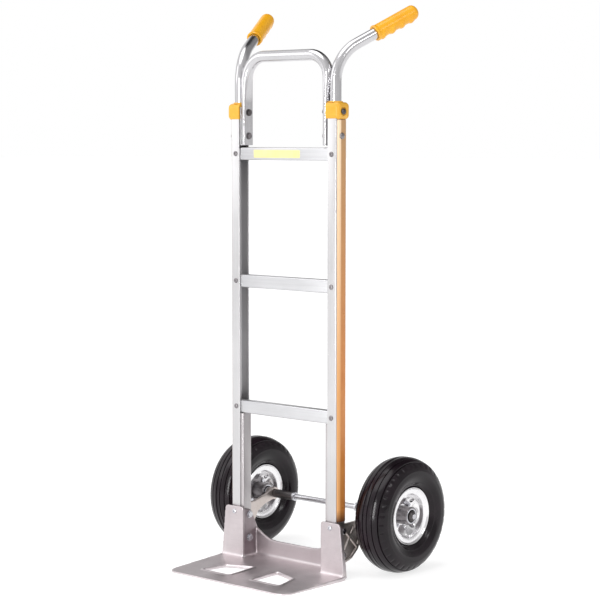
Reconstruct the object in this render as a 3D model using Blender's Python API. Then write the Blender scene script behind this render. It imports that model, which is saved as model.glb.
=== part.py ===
"""Hand truck with a loop handle, two grips and pneumatic wheels.

Frame: origin on the floor under the front plane of the uprights, midway between them.
X points to the truck's right as seen from the front, Y points back, Z points up. Metres.
"""
import math

import bmesh
import bpy
from mathutils import Vector

# ---------------------------------------------------------------- driving dimensions
GAP = 0.0003                 # clearance between touching pieces
SIDES = (("left", -1.0), ("right", 1.0))

RAIL_OUT = 0.1526            # outer face of each upright
RAIL_FLANGE = 0.0247         # flange width, across the truck
RAIL_DEPTH = 0.0322          # front to back
RAIL_WALL = 0.0023
RAIL_CORNER = 0.0024          # rounding of the rail's outer corners
RAIL_FOOT = 0.0300
RAIL_TOP = 1.0180

BAR_HEIGHT = 0.0285
BAR_DEPTH = 0.0180
BAR_WALL = 0.0024
BAR_PITCH = 0.2830           # vertical distance between crossbars
BAR_TOP_CENTRE = 0.9155      # middle of the top crossbar
RIVET_X = 0.1388
RIVET_R = 0.0027
RIVET_HEAD_R = 0.0058

STIFF_IN = 0.1196            # inner face of the stiffener inside each rail
STIFF_TOP = 0.3340

TUBE_R = 0.0125              # 25 mm round tube, 1.8 mm wall
TUBE_WALL = 0.0018
TUBE_SIDES = 12
TUBE_FOOT = 0.9340           # lower ends of handle tubes and loop legs
HANDLE_X = 0.1375
HANDLE_Y = 0.0155
BEND_START = 1.0690          # height where a handle tube starts to bend
BEND_R = 0.0913
GRIP_TURN = math.radians(23.2)    # how far a grip points outwards from straight back
GRIP_RISE = math.radians(27.2)    # how far a grip points upwards
STRAIGHT = 0.1628            # bend end to grip tip

GRIP_LENGTH = 0.1130
GRIP_R = 0.0165
GRIP_SWELL = 0.0030          # finger swells under the grip
FINGERS = 4

LOOP_X = 0.1177              # middle of each loop leg
LOOP_HALF_THICK = 0.0067     # flattened leg, across the truck
LOOP_HALF_WIDE = 0.0150      # flattened leg, front to back
LOOP_TOP = 1.1280            # middle of the tube along the top
LOOP_BEND_R = 0.0510

COLLAR_OUT = 0.1612
COLLAR_IN = 0.1252
COLLAR_LOW = 0.9890
COLLAR_TOP = 1.0260
COLLAR_FRONT = -0.0040
COLLAR_BACK = 0.0375
COLLAR_ROUND = 0.0060

STRIP_OUT = 0.1570           # crown of the strip on the rail's outer web
STRIP_FRONT = 0.0018
STRIP_BACK = 0.0302
STRIP_LOW = 0.1235

BOLT_HEIGHTS = (("upper", 1.0060), ("lower", 0.9545))
BOLT_R = 0.0036
BOLT_Y = 0.0135              # the through bolts sit a little forward of the tubes' middle
BOLT_HEAD_R = 0.0078
BOLT_MIDDLE = 0.1350         # the bolts' cutters are centred here, across the truck
BOLT_REACH = 0.0800          # and this long
FOOT_BOLT_HEIGHTS = (("high", 0.1030), ("low", 0.0500))
FOOT_BOLT_Y = 0.0160
FOOT_HEAD_R = 0.0070
SCREW_PLACE = (0.1405, 0.1100)    # across and up, on the ear's front wall
SCREW_R = 0.0026
SCREW_HEAD_R = 0.0056

TOE_FRONT = -0.1915
TOE_HALF_FRONT = 0.1715
TOE_HALF_BACK = 0.1800       # under the ears
TOE_HALF_REAR = 0.1400       # along the rear edge
TOE_CORNER = 0.0280
TOE_LIP = 0.0034             # thickness at the front lip
TOE_ROOT = 0.0085            # thickness under the ears
TOE_BACK = 0.0440            # rear face of the back wall
EAR_FRONT = -0.0056
EAR_WALL = 0.0050
EAR_TOP = 0.1223
EAR_IN = 0.1142
EAR_OUT_TOP = 0.1680
EAR_RETURN = 0.0110          # how far the outer edge turns back
SCOOP_LOW = 0.0460           # height of the back wall in its middle
SCOOP_HIGH = 0.0710
EAR_CORNER = 0.0060
WINDOW = ((0.034, -0.138), (0.112, -0.138), (0.099, -0.080), (0.034, -0.057))

WHEEL_X = 0.2158
WHEEL_Y = 0.1467
TYRE_R = 0.1270              # 10 in tyre on a 4 in rim
TYRE_HALF = 0.0428
WHEEL_SEGMENTS = 24
RIM_FLANGE_R = 0.0635
RIM_SEAT_R = 0.0500
AXLE_R = 0.00635
AXLE_END = 0.2545
HUB_R = 0.0200
HUB_FLANGE_R = 0.0330
HUB_FLANGE_THICK = 0.0030
RIM_DISC = 0.0026            # outer face of a rim half's disc from the wheel's middle plane
HUB_IN = 0.1755
HUB_OUT = 0.2465
BEARING_R = 0.0170
BEARING_WIDE = 0.0100
BRACKET_IN = RAIL_OUT + GAP
BRACKET_OUT = 0.1600
BOSS_OUT = 0.1722
BOSS_R = 0.0130
BRACKET_OUTLINE = (          # foot, lower edge out to the boss, and back along the top
    (0.0012, 0.0300), (0.0200, 0.0300), (0.0470, 0.0380), (0.0690, 0.0560), (0.0770, 0.0760),
    (0.0880, 0.0940), (0.1120, 0.1070), (0.1400, 0.1140), (0.1467, 0.1270), (0.1420, 0.1400),
    (0.1150, 0.1290), (0.0800, 0.1200), (0.0580, 0.1180), (0.0012, 0.1180))
SLEEVE_IN = 0.0890
SLEEVE_R = 0.0098
WASHER_R = 0.0125
CAP_R = 0.0115
CAP_THICK = 0.0055
AIR_TUBE_R = 0.0945          # middle of the air tube from the axle
STEM_OFFSET = 0.0075         # valve stem from the wheel's middle plane
STEM_R = 0.0045


# ---------------------------------------------------------------- materials
def material(name, colour, roughness, metallic):
    """A Principled BSDF with one colour."""
    mat = bpy.data.materials.get(name)
    if mat is None:
        mat = bpy.data.materials.new(name)
        mat.use_nodes = True
        bsdf = mat.node_tree.nodes["Principled BSDF"]
        bsdf.inputs["Base Color"].default_value = (*colour, 1.0)
        bsdf.inputs["Roughness"].default_value = roughness
        bsdf.inputs["Metallic"].default_value = metallic
        mat.diffuse_color = (*colour, 1.0)
    return mat


def aluminium():
    return material("satin_aluminium", (0.78, 0.78, 0.80), 0.35, 1.0)


def cast_aluminium():
    return material("cast_aluminium", (0.62, 0.61, 0.61), 0.50, 1.0)


def yellow_plastic():
    return material("yellow_plastic", (0.95, 0.52, 0.05), 0.40, 0.0)


def orange_strip():
    return material("orange_strip", (0.80, 0.38, 0.08), 0.45, 0.0)


def black_iron():
    return material("black_iron", (0.05, 0.045, 0.045), 0.50, 0.6)


def bright_steel():
    return material("bright_steel", (0.72, 0.72, 0.74), 0.22, 1.0)


def chrome():
    return material("chrome", (0.85, 0.86, 0.87), 0.08, 1.0)


def tyre_rubber():
    return material("tyre_rubber", (0.03, 0.026, 0.028), 0.60, 0.0)


def soft_rubber():
    return material("tube_rubber", (0.02, 0.02, 0.02), 0.70, 0.0)


# ---------------------------------------------------------------- mesh helpers
def finish(bm, name, mat, origin=(0.0, 0.0, 0.0), parent=None, smooth_angle=35.0):
    """Turn a bmesh built in world space into an object whose origin is given."""
    bmesh.ops.recalc_face_normals(bm, faces=bm.faces)
    bmesh.ops.translate(bm, verts=bm.verts, vec=-Vector(origin))
    mesh = bpy.data.meshes.new(name)
    bm.to_mesh(mesh)
    bm.free()
    mesh.shade_smooth()
    mesh.set_sharp_from_angle(angle=math.radians(smooth_angle))
    mesh.materials.append(mat)
    obj = bpy.data.objects.new(name, mesh)
    bpy.context.collection.objects.link(obj)
    if parent is None:
        obj.location = origin
    else:
        obj.parent = parent
        obj.location = Vector(origin) - parent.location
    return obj


def axes_for(axis):
    """Two axes of an outline's plane, and the axis it is extruded along."""
    x, y, z = Vector((1, 0, 0)), Vector((0, 1, 0)), Vector((0, 0, 1))
    return {"X": (y, z, x), "Y": (x, z, y), "Z": (x, y, z)}[axis]


def prism_bmesh(outline, axis, low, high):
    """An outline of (a, b) points extruded along an axis from low to high."""
    across, up, along = axes_for(axis)
    bm = bmesh.new()
    base = [bm.verts.new(across * a + up * b + along * low) for a, b in outline]
    face = bm.faces.new(base)
    made = bmesh.ops.extrude_face_region(bm, geom=[face])
    top = [v for v in made["geom"] if isinstance(v, bmesh.types.BMVert)]
    bmesh.ops.translate(bm, verts=top, vec=along * (high - low))
    return bm


def prism(name, mat, outline, axis, low, high):
    return finish(prism_bmesh(outline, axis, low, high), name, mat)


def box_outline(a0, a1, b0, b1):
    return [(a0, b0), (a1, b0), (a1, b1), (a0, b1)]


def mirrored(outline, side):
    """The outline on one side of the truck: side is -1 or 1."""
    return [(a * side, b) for a, b in outline]


def span(side, near, far):
    """Two distances from the middle as an ordered X interval on one side."""
    return (near, far) if side > 0 else (-far, -near)


def arc(centre, radius, start, end, steps):
    """Points of an arc, angles in degrees."""
    points = []
    for i in range(steps + 1):
        angle = math.radians(start + (end - start) * i / steps)
        points.append((centre[0] + radius * math.cos(angle), centre[1] + radius * math.sin(angle)))
    return points


def ring_bmesh(profile, centre, segments):
    """A closed (x, radius) profile turned about the X axis through centre."""
    bm = bmesh.new()
    rings = []
    for i in range(segments):
        angle = 2.0 * math.pi * i / segments
        c, s = math.cos(angle), math.sin(angle)
        rings.append([bm.verts.new((centre[0] + x, centre[1] + r * c, centre[2] + r * s))
                      for x, r in profile])
    count = len(profile)
    for i in range(segments):
        here, there = rings[i], rings[(i + 1) % segments]
        for j in range(count):
            k = (j + 1) % count
            bm.faces.new((here[j], here[k], there[k], there[j]))
    return bm


def spindle_bmesh(profile, origin, direction, segments):
    """An open (distance, radius) profile turned about a direction, with capped ends."""
    direction = Vector(direction).normalized()
    helper = Vector((0, 0, 1)) if abs(direction.z) < 0.9 else Vector((0, 1, 0))
    across = direction.cross(helper).normalized()
    up = direction.cross(across)
    bm = bmesh.new()
    rings = []
    for distance, radius in profile:
        centre = Vector(origin) + direction * distance
        rings.append([bm.verts.new(centre + (across * math.cos(2.0 * math.pi * i / segments)
                                             + up * math.sin(2.0 * math.pi * i / segments)) * radius)
                      for i in range(segments)])
    for here, there in zip(rings, rings[1:]):
        for i in range(segments):
            k = (i + 1) % segments
            bm.faces.new((here[i], here[k], there[k], there[i]))
    bm.faces.new(rings[0])
    bm.faces.new(rings[-1])
    return bm


def spindle(name, mat, profile, origin, direction, segments=12, **place):
    return finish(spindle_bmesh(profile, origin, direction, segments), name, mat, **place)


def cutter(name, bm):
    """A guide solid that shapes other pieces and isn't a piece itself."""
    obj = finish(bm, name, black_iron())
    obj.hide_render = True
    obj.display_type = "WIRE"
    return obj


def cut(obj, tool, operation="DIFFERENCE"):
    mod = obj.modifiers.new(tool.name, "BOOLEAN")
    mod.operation = operation
    mod.solver = "EXACT"
    mod.object = tool


def hole(name, point, direction, radius, length, segments=8):
    """A round cutter centred on a point."""
    start = Vector(point) - Vector(direction).normalized() * (length / 2.0)
    return cutter(name, spindle_bmesh([(0.0, radius), (length, radius)], start, direction, segments))


def hollow_tube_bmesh(stations, sides, wall):
    """A hollow tube through stations of (centre, u, v, half_u, half_v, squareness)."""
    def section(bm, station, inset):
        centre, u, v, half_u, half_v, power = station
        verts = []
        for i in range(sides):
            angle = 2.0 * math.pi * (i + 0.5) / sides
            c, s = math.cos(angle), math.sin(angle)
            a = math.copysign(abs(c) ** (2.0 / power), c) * (half_u - inset)
            b = math.copysign(abs(s) ** (2.0 / power), s) * (half_v - inset)
            verts.append(bm.verts.new(centre + u * a + v * b))
        return verts

    bm = bmesh.new()
    outer = [section(bm, station, 0.0) for station in stations]
    inner = [section(bm, station, wall) for station in stations]
    loop = outer + inner[::-1]
    for here, there in zip(loop, loop[1:] + loop[:1]):
        for i in range(sides):
            k = (i + 1) % sides
            bm.faces.new((here[i], here[k], there[k], there[i]))
    return bm


# ---------------------------------------------------------------- uprights and crossbars
def channel_outline(out, width, front, depth, wall):
    """A C-section opening inwards: out is its outer face, on the +X side."""
    inside = out - width
    back = front + depth
    c = RAIL_CORNER
    return [(inside, front), (out - c, front), (out - 0.3 * c, front + 0.3 * c), (out, front + c),
            (out, back - c), (out - 0.3 * c, back - 0.3 * c), (out - c, back), (inside, back),
            (inside, back - wall),
            (out - wall, back - wall), (out - wall, front + wall), (inside, front + wall)]


def bolt_holes(side_name, side):
    """Cutters of the two through bolts on one side of the handle."""
    tools = []
    for level, height in BOLT_HEIGHTS:
        tools.append(hole(f"cut_{level}_{side_name}", (side * BOLT_MIDDLE, BOLT_Y, height),
                          (1, 0, 0), BOLT_R + 2.0 * GAP, BOLT_REACH))
    return tools


def bar_heights():
    return [("top", BAR_TOP_CENTRE), ("middle", BAR_TOP_CENTRE - BAR_PITCH),
            ("lower", BAR_TOP_CENTRE - 2.0 * BAR_PITCH)]


def rivet_hole(bar, height, side_name, side):
    return hole(f"cut_rivet_{bar}_{side_name}", (side * RIVET_X, 0.0025, height),
                (0, 1, 0), RIVET_R + GAP, 0.012)


def rail(side_name, side, bolts, rivets, foot_bolts):
    outline = channel_outline(RAIL_OUT, RAIL_FLANGE, 0.0, RAIL_DEPTH, RAIL_WALL)
    obj = prism(f"rail_{side_name}", aluminium(), mirrored(outline, side), "Z", RAIL_FOOT, RAIL_TOP)
    for tool in bolts + rivets + foot_bolts:
        cut(obj, tool)


def stiffener(side_name, side, foot_bolts):
    """A channel that opens outwards inside the rail's foot and boxes it."""
    front = RAIL_WALL + GAP
    back = RAIL_DEPTH - RAIL_WALL - GAP
    far = RAIL_OUT - RAIL_WALL - GAP
    wall = RAIL_WALL
    outline = [(far, front), (far, front + wall), (STIFF_IN + wall, front + wall),
               (STIFF_IN + wall, back - wall), (far, back - wall), (far, back),
               (STIFF_IN, back), (STIFF_IN, front)]
    obj = prism(f"rail_stiffener_{side_name}", aluminium(), mirrored(outline, side), "Z",
                RAIL_FOOT, STIFF_TOP)
    for tool in foot_bolts:
        cut(obj, tool)


def crossbar(bar, height, rivets):
    """A channel between the rails, web to the front, ends inside the rails."""
    low, high = height - BAR_HEIGHT / 2.0, height + BAR_HEIGHT / 2.0
    front = RAIL_WALL + GAP
    back = front + BAR_DEPTH
    half = RAIL_OUT - RAIL_WALL - GAP
    outline = [(front, low), (back, low), (back, low + BAR_WALL), (front + BAR_WALL, low + BAR_WALL),
               (front + BAR_WALL, high - BAR_WALL), (back, high - BAR_WALL), (back, high), (front, high)]
    obj = prism(f"crossbar_{bar}", aluminium(), outline, "X", -half, half)
    for tool in rivets:
        cut(obj, tool)


def rivet(bar, height, side_name, side):
    """A domed rivet through the rail's front flange and the crossbar's web."""
    profile = [(-0.0028, 0.0022), (-0.0020, 0.0046), (-GAP, RIVET_HEAD_R), (-GAP, RIVET_R), (0.0074, RIVET_R)]
    spindle(f"rivet_{bar}_{side_name}", bright_steel(), profile,
            (side * RIVET_X, 0.0, height), (0, 1, 0), 8)


# ---------------------------------------------------------------- handles
def handle_direction(side):
    flat = Vector((side * math.sin(GRIP_TURN), math.cos(GRIP_TURN), 0.0))
    return flat, flat * math.cos(GRIP_RISE) + Vector((0, 0, 1)) * math.sin(GRIP_RISE)


def handle_path(side):
    """Centre points of a handle tube with the direction at each."""
    flat, along = handle_direction(side)
    up = Vector((0, 0, 1))
    base = Vector((side * HANDLE_X, HANDLE_Y, BEND_START))
    points = [(Vector((base.x, base.y, TUBE_FOOT)), up)]
    turn = math.pi / 2.0 - GRIP_RISE
    steps = 6
    for i in range(steps + 1):
        angle = turn * i / steps
        centre = base + flat * BEND_R * (1.0 - math.cos(angle)) + up * BEND_R * math.sin(angle)
        points.append((centre, flat * math.sin(angle) + up * math.cos(angle)))
    points.append((points[-1][0] + along * (STRAIGHT - 0.008), along))
    return points


def handle_tube(side_name, side, bolts):
    flat, _ = handle_direction(side)
    across = Vector((0, 0, 1)).cross(flat)
    stations = [(centre, across, across.cross(tangent), TUBE_R, TUBE_R, 2.0)
                for centre, tangent in handle_path(side)]
    bm = hollow_tube_bmesh(stations, TUBE_SIDES, TUBE_WALL)
    obj = finish(bm, f"handle_tube_{side_name}", aluminium())
    for tool in bolts:
        cut(obj, tool)


def grip_radius(fraction, downwards):
    """Radius along a grip: rounded ends, with finger swells on the underside."""
    ends = min(1.0, math.sqrt(max(0.0, 1.0 - ((fraction - 0.90) / 0.115) ** 2))) if fraction > 0.90 else 1.0
    swell = 0.5 - 0.5 * math.cos(2.0 * math.pi * FINGERS * min(1.0, fraction / 0.92))
    lip = 0.0012 if fraction < 0.06 else 0.0
    return GRIP_R * ends + lip + GRIP_SWELL * swell * ends * max(0.0, downwards) ** 1.5


def grip(side_name, side):
    """A closed-ended moulded sleeve over the end of a handle tube."""
    flat, along = handle_direction(side)
    tip = handle_path(side)[-2][0] + along * STRAIGHT
    mouth = tip - along * GRIP_LENGTH
    across = Vector((0, 0, 1)).cross(flat)
    over = across.cross(along)
    if over.z < 0.0:
        over = -over
    sides = 12
    bore = TUBE_R + 2.0 * GAP
    bm = bmesh.new()

    def section(distance, radius_at):
        verts = []
        for i in range(sides):
            angle = 2.0 * math.pi * i / sides
            c, s = math.cos(angle), math.sin(angle)
            verts.append(bm.verts.new(mouth + along * distance
                                      + (across * c + over * s) * radius_at(-s)))
        return verts

    rings = [section(GRIP_LENGTH - 0.006, lambda down: bore), section(0.0, lambda down: bore)]
    steps = 16
    for i in range(steps + 1):
        fraction = 0.985 * i / steps
        rings.append(section(GRIP_LENGTH * fraction, lambda down, f=fraction: grip_radius(f, down)))
    for here, there in zip(rings, rings[1:]):
        for i in range(sides):
            k = (i + 1) % sides
            bm.faces.new((here[i], here[k], there[k], there[i]))
    bm.faces.new(rings[0])
    bm.faces.new(rings[-1])
    finish(bm, f"grip_{side_name}", yellow_plastic(), smooth_angle=50.0)


def loop_station(centre, normal, roundness):
    """A section of the loop: roundness 0 is the flattened leg, 1 the round tube."""
    half_u = LOOP_HALF_THICK + (TUBE_R - LOOP_HALF_THICK) * roundness
    half_v = LOOP_HALF_WIDE + (TUBE_R - LOOP_HALF_WIDE) * roundness
    return (centre, normal, Vector((0, 1, 0)), half_u, half_v, 3.2 - 1.2 * roundness)


def loop_handle(bolts):
    """An inverted U of tube whose legs are flattened beside the handle tubes."""
    bend_z = LOOP_TOP - LOOP_BEND_R
    bend_x = LOOP_X - LOOP_BEND_R
    half = [loop_station(Vector((LOOP_X, HANDLE_Y, TUBE_FOOT)), Vector((1, 0, 0)), 0.0)]
    steps = 6
    for i in range(steps + 1):
        angle = math.pi / 2.0 * i / steps
        normal = Vector((math.cos(angle), 0.0, math.sin(angle)))
        centre = Vector((bend_x, HANDLE_Y, bend_z)) + normal * LOOP_BEND_R
        half.append(loop_station(centre, normal, min(1.0, i / (steps / 2.0))))
    other = []
    for centre, normal, wide, half_u, half_v, power in reversed(half):
        flip = Vector((-1, 1, 1))
        other.append((centre * flip, normal * flip, wide, half_u, half_v, power))
    obj = finish(hollow_tube_bmesh(half + other, TUBE_SIDES, TUBE_WALL), "loop_handle", aluminium())
    for tool in bolts:
        cut(obj, tool)


def collar_block(side):
    """The collar's outer shape: a block rounded on every edge but those of its inner face."""
    outline = box_outline(COLLAR_IN, COLLAR_OUT, COLLAR_FRONT, COLLAR_BACK)
    bm = prism_bmesh(mirrored(outline, side), "Z", COLLAR_LOW, COLLAR_TOP)
    inner = COLLAR_IN + GAP
    rounded = [e for e in bm.edges if any(abs(v.co.x) > inner for v in e.verts)]
    bmesh.ops.bevel(bm, geom=rounded, offset=COLLAR_ROUND, segments=2, profile=0.5, affect="EDGES")
    return bm


def collar(side_name, side, bolts):
    """A moulded cap around the rail's top, with the handle tube passing through."""
    obj = finish(collar_block(side), f"handle_collar_{side_name}", yellow_plastic())
    pocket = box_outline(COLLAR_IN - 0.002, RAIL_OUT + GAP, -GAP, RAIL_DEPTH + GAP)
    cut(obj, cutter(f"cut_pocket_{side_name}",
                    prism_bmesh(mirrored(pocket, side), "Z", COLLAR_LOW - 0.002, RAIL_TOP + GAP)))
    cut(obj, hole(f"cut_tube_{side_name}", (side * HANDLE_X, HANDLE_Y, COLLAR_TOP), (0, 0, 1),
                  TUBE_R + 2.0 * GAP, 0.040, 20))
    for tool in bolts:
        cut(obj, tool)


def side_strip(side_name, side, bolts):
    """A crowned coloured strip along the rail's outer web, from the bracket to the collar."""
    inner = RAIL_OUT + GAP
    middle = (inner + STRIP_OUT) / 2.0 + 0.0006
    outline = [(inner, STRIP_FRONT), (middle, STRIP_FRONT + 0.0030), (STRIP_OUT, STRIP_FRONT + 0.0080),
               (STRIP_OUT, STRIP_BACK - 0.0050), (middle, STRIP_BACK - 0.0015), (inner, STRIP_BACK)]
    obj = prism(f"side_strip_{side_name}", orange_strip(), mirrored(outline, side), "Z",
                STRIP_LOW, COLLAR_LOW - GAP)
    for tool in bolts:
        cut(obj, tool)


def handle_bolt(level, height, side_name, side):
    """A through bolt: outer head on the collar or strip, inner nut on the loop leg."""
    outer = (COLLAR_OUT if level == "upper" else STRIP_OUT) + GAP
    inner = LOOP_X - LOOP_HALF_THICK - GAP
    length = outer - inner
    profile = [(-0.0050, 0.0055), (-0.0042, 0.0064), (-0.0014, 0.0064), (-0.0014, BOLT_HEAD_R),
               (0.0, BOLT_HEAD_R), (0.0, BOLT_R), (length, BOLT_R), (length, BOLT_HEAD_R),
               (length + 0.0018, BOLT_HEAD_R - 0.0008), (length + 0.0032, 0.0048)]
    spindle(f"handle_bolt_{level}_{side_name}", bright_steel(), profile,
            (side * inner, BOLT_Y, height), (side, 0, 0), 8)


# ---------------------------------------------------------------- nose plate
def toe_outline():
    """The nose plate seen from above, with rounded front corners."""
    x, y, r = TOE_HALF_FRONT, TOE_FRONT, TOE_CORNER
    outline = arc((-x + r, y + r), r, 180, 270, 4)
    outline += arc((x - r, y + r), r, 270, 360, 4)
    outline += [(TOE_HALF_BACK, EAR_FRONT), (TOE_HALF_BACK, EAR_FRONT + EAR_WALL),
                (TOE_HALF_REAR, TOE_BACK), (-TOE_HALF_REAR, TOE_BACK),
                (-TOE_HALF_BACK, EAR_FRONT + EAR_WALL), (-TOE_HALF_BACK, EAR_FRONT)]
    return outline


def window_cutter(side_name, side):
    """A four-sided window with its back edge slanting outwards."""
    return cutter(f"cut_window_{side_name}",
                  prism_bmesh(mirrored(WINDOW, side), "Z", -0.010, 0.030))


def toe_base():
    """The plate's wedge: thin at the front lip, thicker under the ears."""
    bm = prism_bmesh(toe_outline(), "Z", 0.0, TOE_ROOT)
    span = EAR_FRONT - TOE_FRONT
    for vert in bm.verts:
        if vert.co.z > 0.001 and vert.co.y < EAR_FRONT:
            vert.co.z = TOE_LIP + (TOE_ROOT - TOE_LIP) * (vert.co.y - TOE_FRONT) / span
    bmesh.ops.triangulate(bm, faces=[f for f in bm.faces if abs(f.normal.z) > 0.5 or len(f.verts) > 4])
    return bm


def ear_front(side):
    """The ear's front wall, flaring outwards to the plate's edge."""
    r = EAR_CORNER
    outline = [(EAR_IN, 0.001), (TOE_HALF_BACK - 0.0002, 0.001)]
    outline += arc((EAR_OUT_TOP - r, EAR_TOP - r), r, 0, 90, 3)
    outline += arc((EAR_IN + r, EAR_TOP - r), r, 90, 180, 3)
    return prism_bmesh(mirrored(outline, side), "Y", EAR_FRONT + 0.0001, EAR_FRONT + EAR_WALL)


def ear_return(side):
    """The ear's outer edge, turned back behind its front wall."""
    wall = EAR_WALL
    top = EAR_TOP - 0.008
    outline = [(TOE_HALF_BACK - wall, 0.006), (TOE_HALF_BACK - 0.0006, 0.006),
               (EAR_OUT_TOP - 0.0003, top), (EAR_OUT_TOP - wall, top)]
    return prism_bmesh(mirrored(outline, side), "Y", EAR_FRONT + 0.002, EAR_FRONT + EAR_RETURN)


def ear_inner(side):
    """The ear's inner side wall, its top falling towards the back wall."""
    outline = [(EAR_FRONT + 0.002, 0.001), (TOE_BACK - 0.001, 0.001), (TOE_BACK - 0.001, SCOOP_HIGH),
               (0.022, 0.114), (EAR_FRONT + 0.002, 0.116)]
    low, high = span(side, EAR_IN + 0.0001, EAR_IN + EAR_WALL)
    return prism_bmesh(outline, "X", low, high)


def back_wall():
    """The low wall behind the plate, rising in a scoop to the ears."""
    half = EAR_IN + EAR_WALL - 0.0002
    outline = [(-half, 0.0012), (half, 0.0012), (half, SCOOP_HIGH)]
    slope = [(EAR_IN - 0.002, SCOOP_HIGH - 0.002), (0.092, 0.0570), (0.072, 0.0480), (0.055, SCOOP_LOW)]
    outline += slope
    outline += [(-x, z) for x, z in reversed(slope)]
    outline.append((-half, SCOOP_HIGH))
    return prism_bmesh(outline, "Y", TOE_BACK - 0.0064, TOE_BACK - 0.0002)


def nose_plate(foot_bolts, front_holes):
    obj = finish(toe_base(), "nose_plate", cast_aluminium())
    cut(obj, cutter("join_back_wall", back_wall()), "UNION")
    for side_name, side in SIDES:
        cut(obj, cutter(f"join_ear_front_{side_name}", ear_front(side)), "UNION")
        cut(obj, cutter(f"join_ear_return_{side_name}", ear_return(side)), "UNION")
        cut(obj, cutter(f"join_ear_inner_{side_name}", ear_inner(side)), "UNION")
        cut(obj, window_cutter(side_name, side))
    for tool in foot_bolts + front_holes:
        cut(obj, tool)


def foot_holes(side_name, side):
    """Cutters of the side bolts of one foot."""
    return [hole(f"cut_foot_{level}_{side_name}", (side * BOLT_MIDDLE, FOOT_BOLT_Y, height), (1, 0, 0),
                 BOLT_R + 2.0 * GAP, BOLT_REACH)
            for level, height in FOOT_BOLT_HEIGHTS]


def foot_bolt(level, height, side_name, side):
    """A bolt through ear wall, stiffener, rail and axle bracket."""
    inner = EAR_IN - GAP
    length = BRACKET_OUT + GAP - inner
    profile = [(-0.0045, 0.0045), (-0.0030, 0.0066), (0.0, FOOT_HEAD_R), (0.0, BOLT_R), (length, BOLT_R),
               (length, FOOT_HEAD_R), (length + 0.0045, 0.0064)]
    spindle(f"foot_bolt_{level}_{side_name}", bright_steel(), profile,
            (side * inner, FOOT_BOLT_Y, height), (side, 0, 0), 8)


def front_screw_place(side):
    across, up = SCREW_PLACE
    return (side * across, EAR_FRONT, up)


def front_screw(side_name, side):
    """A screw through the ear's front wall into the rail's front flange."""
    x, y, z = front_screw_place(side)
    profile = [(-0.0026, 0.0030), (-0.0016, 0.0050), (-GAP, SCREW_HEAD_R), (-GAP, SCREW_R), (0.0096, SCREW_R)]
    spindle(f"nose_screw_{side_name}", bright_steel(), profile, (x, y, z), (0, 1, 0), 8)


# ---------------------------------------------------------------- axle and wheels
def bracket(side_name, side, foot_bolts):
    """The cast arm from the rail's foot back to the axle."""
    low, high = span(side, BRACKET_IN, BRACKET_OUT)
    obj = prism(f"axle_bracket_{side_name}", cast_aluminium(), BRACKET_OUTLINE, "X", low, high)
    boss = spindle_bmesh([(0.0001, BOSS_R), (BOSS_OUT - BRACKET_IN, BOSS_R)],
                         (side * BRACKET_IN, WHEEL_Y, TYRE_R), (side, 0, 0), 20)
    cut(obj, cutter(f"join_boss_{side_name}", boss), "UNION")
    cut(obj, hole(f"cut_bore_{side_name}", (side * 0.160, WHEEL_Y, TYRE_R), (1, 0, 0),
                  AXLE_R + GAP, 0.040, 14))
    for tool in foot_bolts:
        cut(obj, tool)


def axle():
    profile = [(-AXLE_END, AXLE_R - 0.0008), (-AXLE_END + 0.0008, AXLE_R), (AXLE_END - 0.0008, AXLE_R),
               (AXLE_END, AXLE_R - 0.0008)]
    spindle("axle", bright_steel(), profile, (0.0, WHEEL_Y, TYRE_R), (1, 0, 0), 14)


def plain_ring(name, mat, x_low, x_high, r_in, r_out, segments=16, parent=None):
    """A washer, sleeve or bearing ring about the wheel's axis."""
    profile = [(x_low, r_in), (x_low, r_out), (x_high, r_out), (x_high, r_in)]
    bm = ring_bmesh(profile, (0.0, WHEEL_Y, TYRE_R), segments)
    origin = (0.0, WHEEL_Y, TYRE_R) if parent is None else tuple(parent.location)
    return finish(bm, name, mat, origin=origin, parent=parent)


def axle_fittings(side_name, side):
    """The sleeve inside the bracket, and the washer and push-on cap outside the hub."""
    low, high = span(side, SLEEVE_IN, BRACKET_IN - 2.0 * GAP)
    plain_ring(f"axle_sleeve_{side_name}", black_iron(), low, high, AXLE_R + GAP, SLEEVE_R)
    low, high = span(side, BOSS_OUT + GAP, HUB_IN - GAP)
    plain_ring(f"inner_washer_{side_name}", bright_steel(), low, high, AXLE_R + GAP, WASHER_R)
    low, high = span(side, HUB_OUT + GAP, HUB_OUT + GAP + CAP_THICK)
    plain_ring(f"axle_cap_{side_name}", bright_steel(), low, high, AXLE_R + GAP, CAP_R)


def tyre_profile():
    """Closed section of the tyre about the wheel's middle plane: (x, radius)."""
    outside = [(0.0150, 0.0514), (0.0240, 0.0514), (0.0243, 0.0620), (0.0335, 0.0695),
               (0.0412, 0.0835), (TYRE_HALF, 0.0945), (0.0392, 0.1090), (0.0285, 0.1205),
               (0.0110, TYRE_R)]
    inside = [(0.0165, 0.0680), (0.0310, 0.0790), (0.0370, 0.0930), (0.0325, 0.1080),
              (0.0110, 0.1200)]
    around = outside + [(-x, r) for x, r in reversed(outside)]
    return around + inside_from_far_bead(inside)


def inside_from_far_bead(inside):
    """The carcass's inner face, from the far bead over to the near one."""
    return [(-x, r) for x, r in inside] + list(reversed(inside))


def tyre(name, middle, parent):
    finish(ring_bmesh(tyre_profile(), middle, WHEEL_SEGMENTS), name, tyre_rubber(), origin=middle,
           parent=parent)


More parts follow.
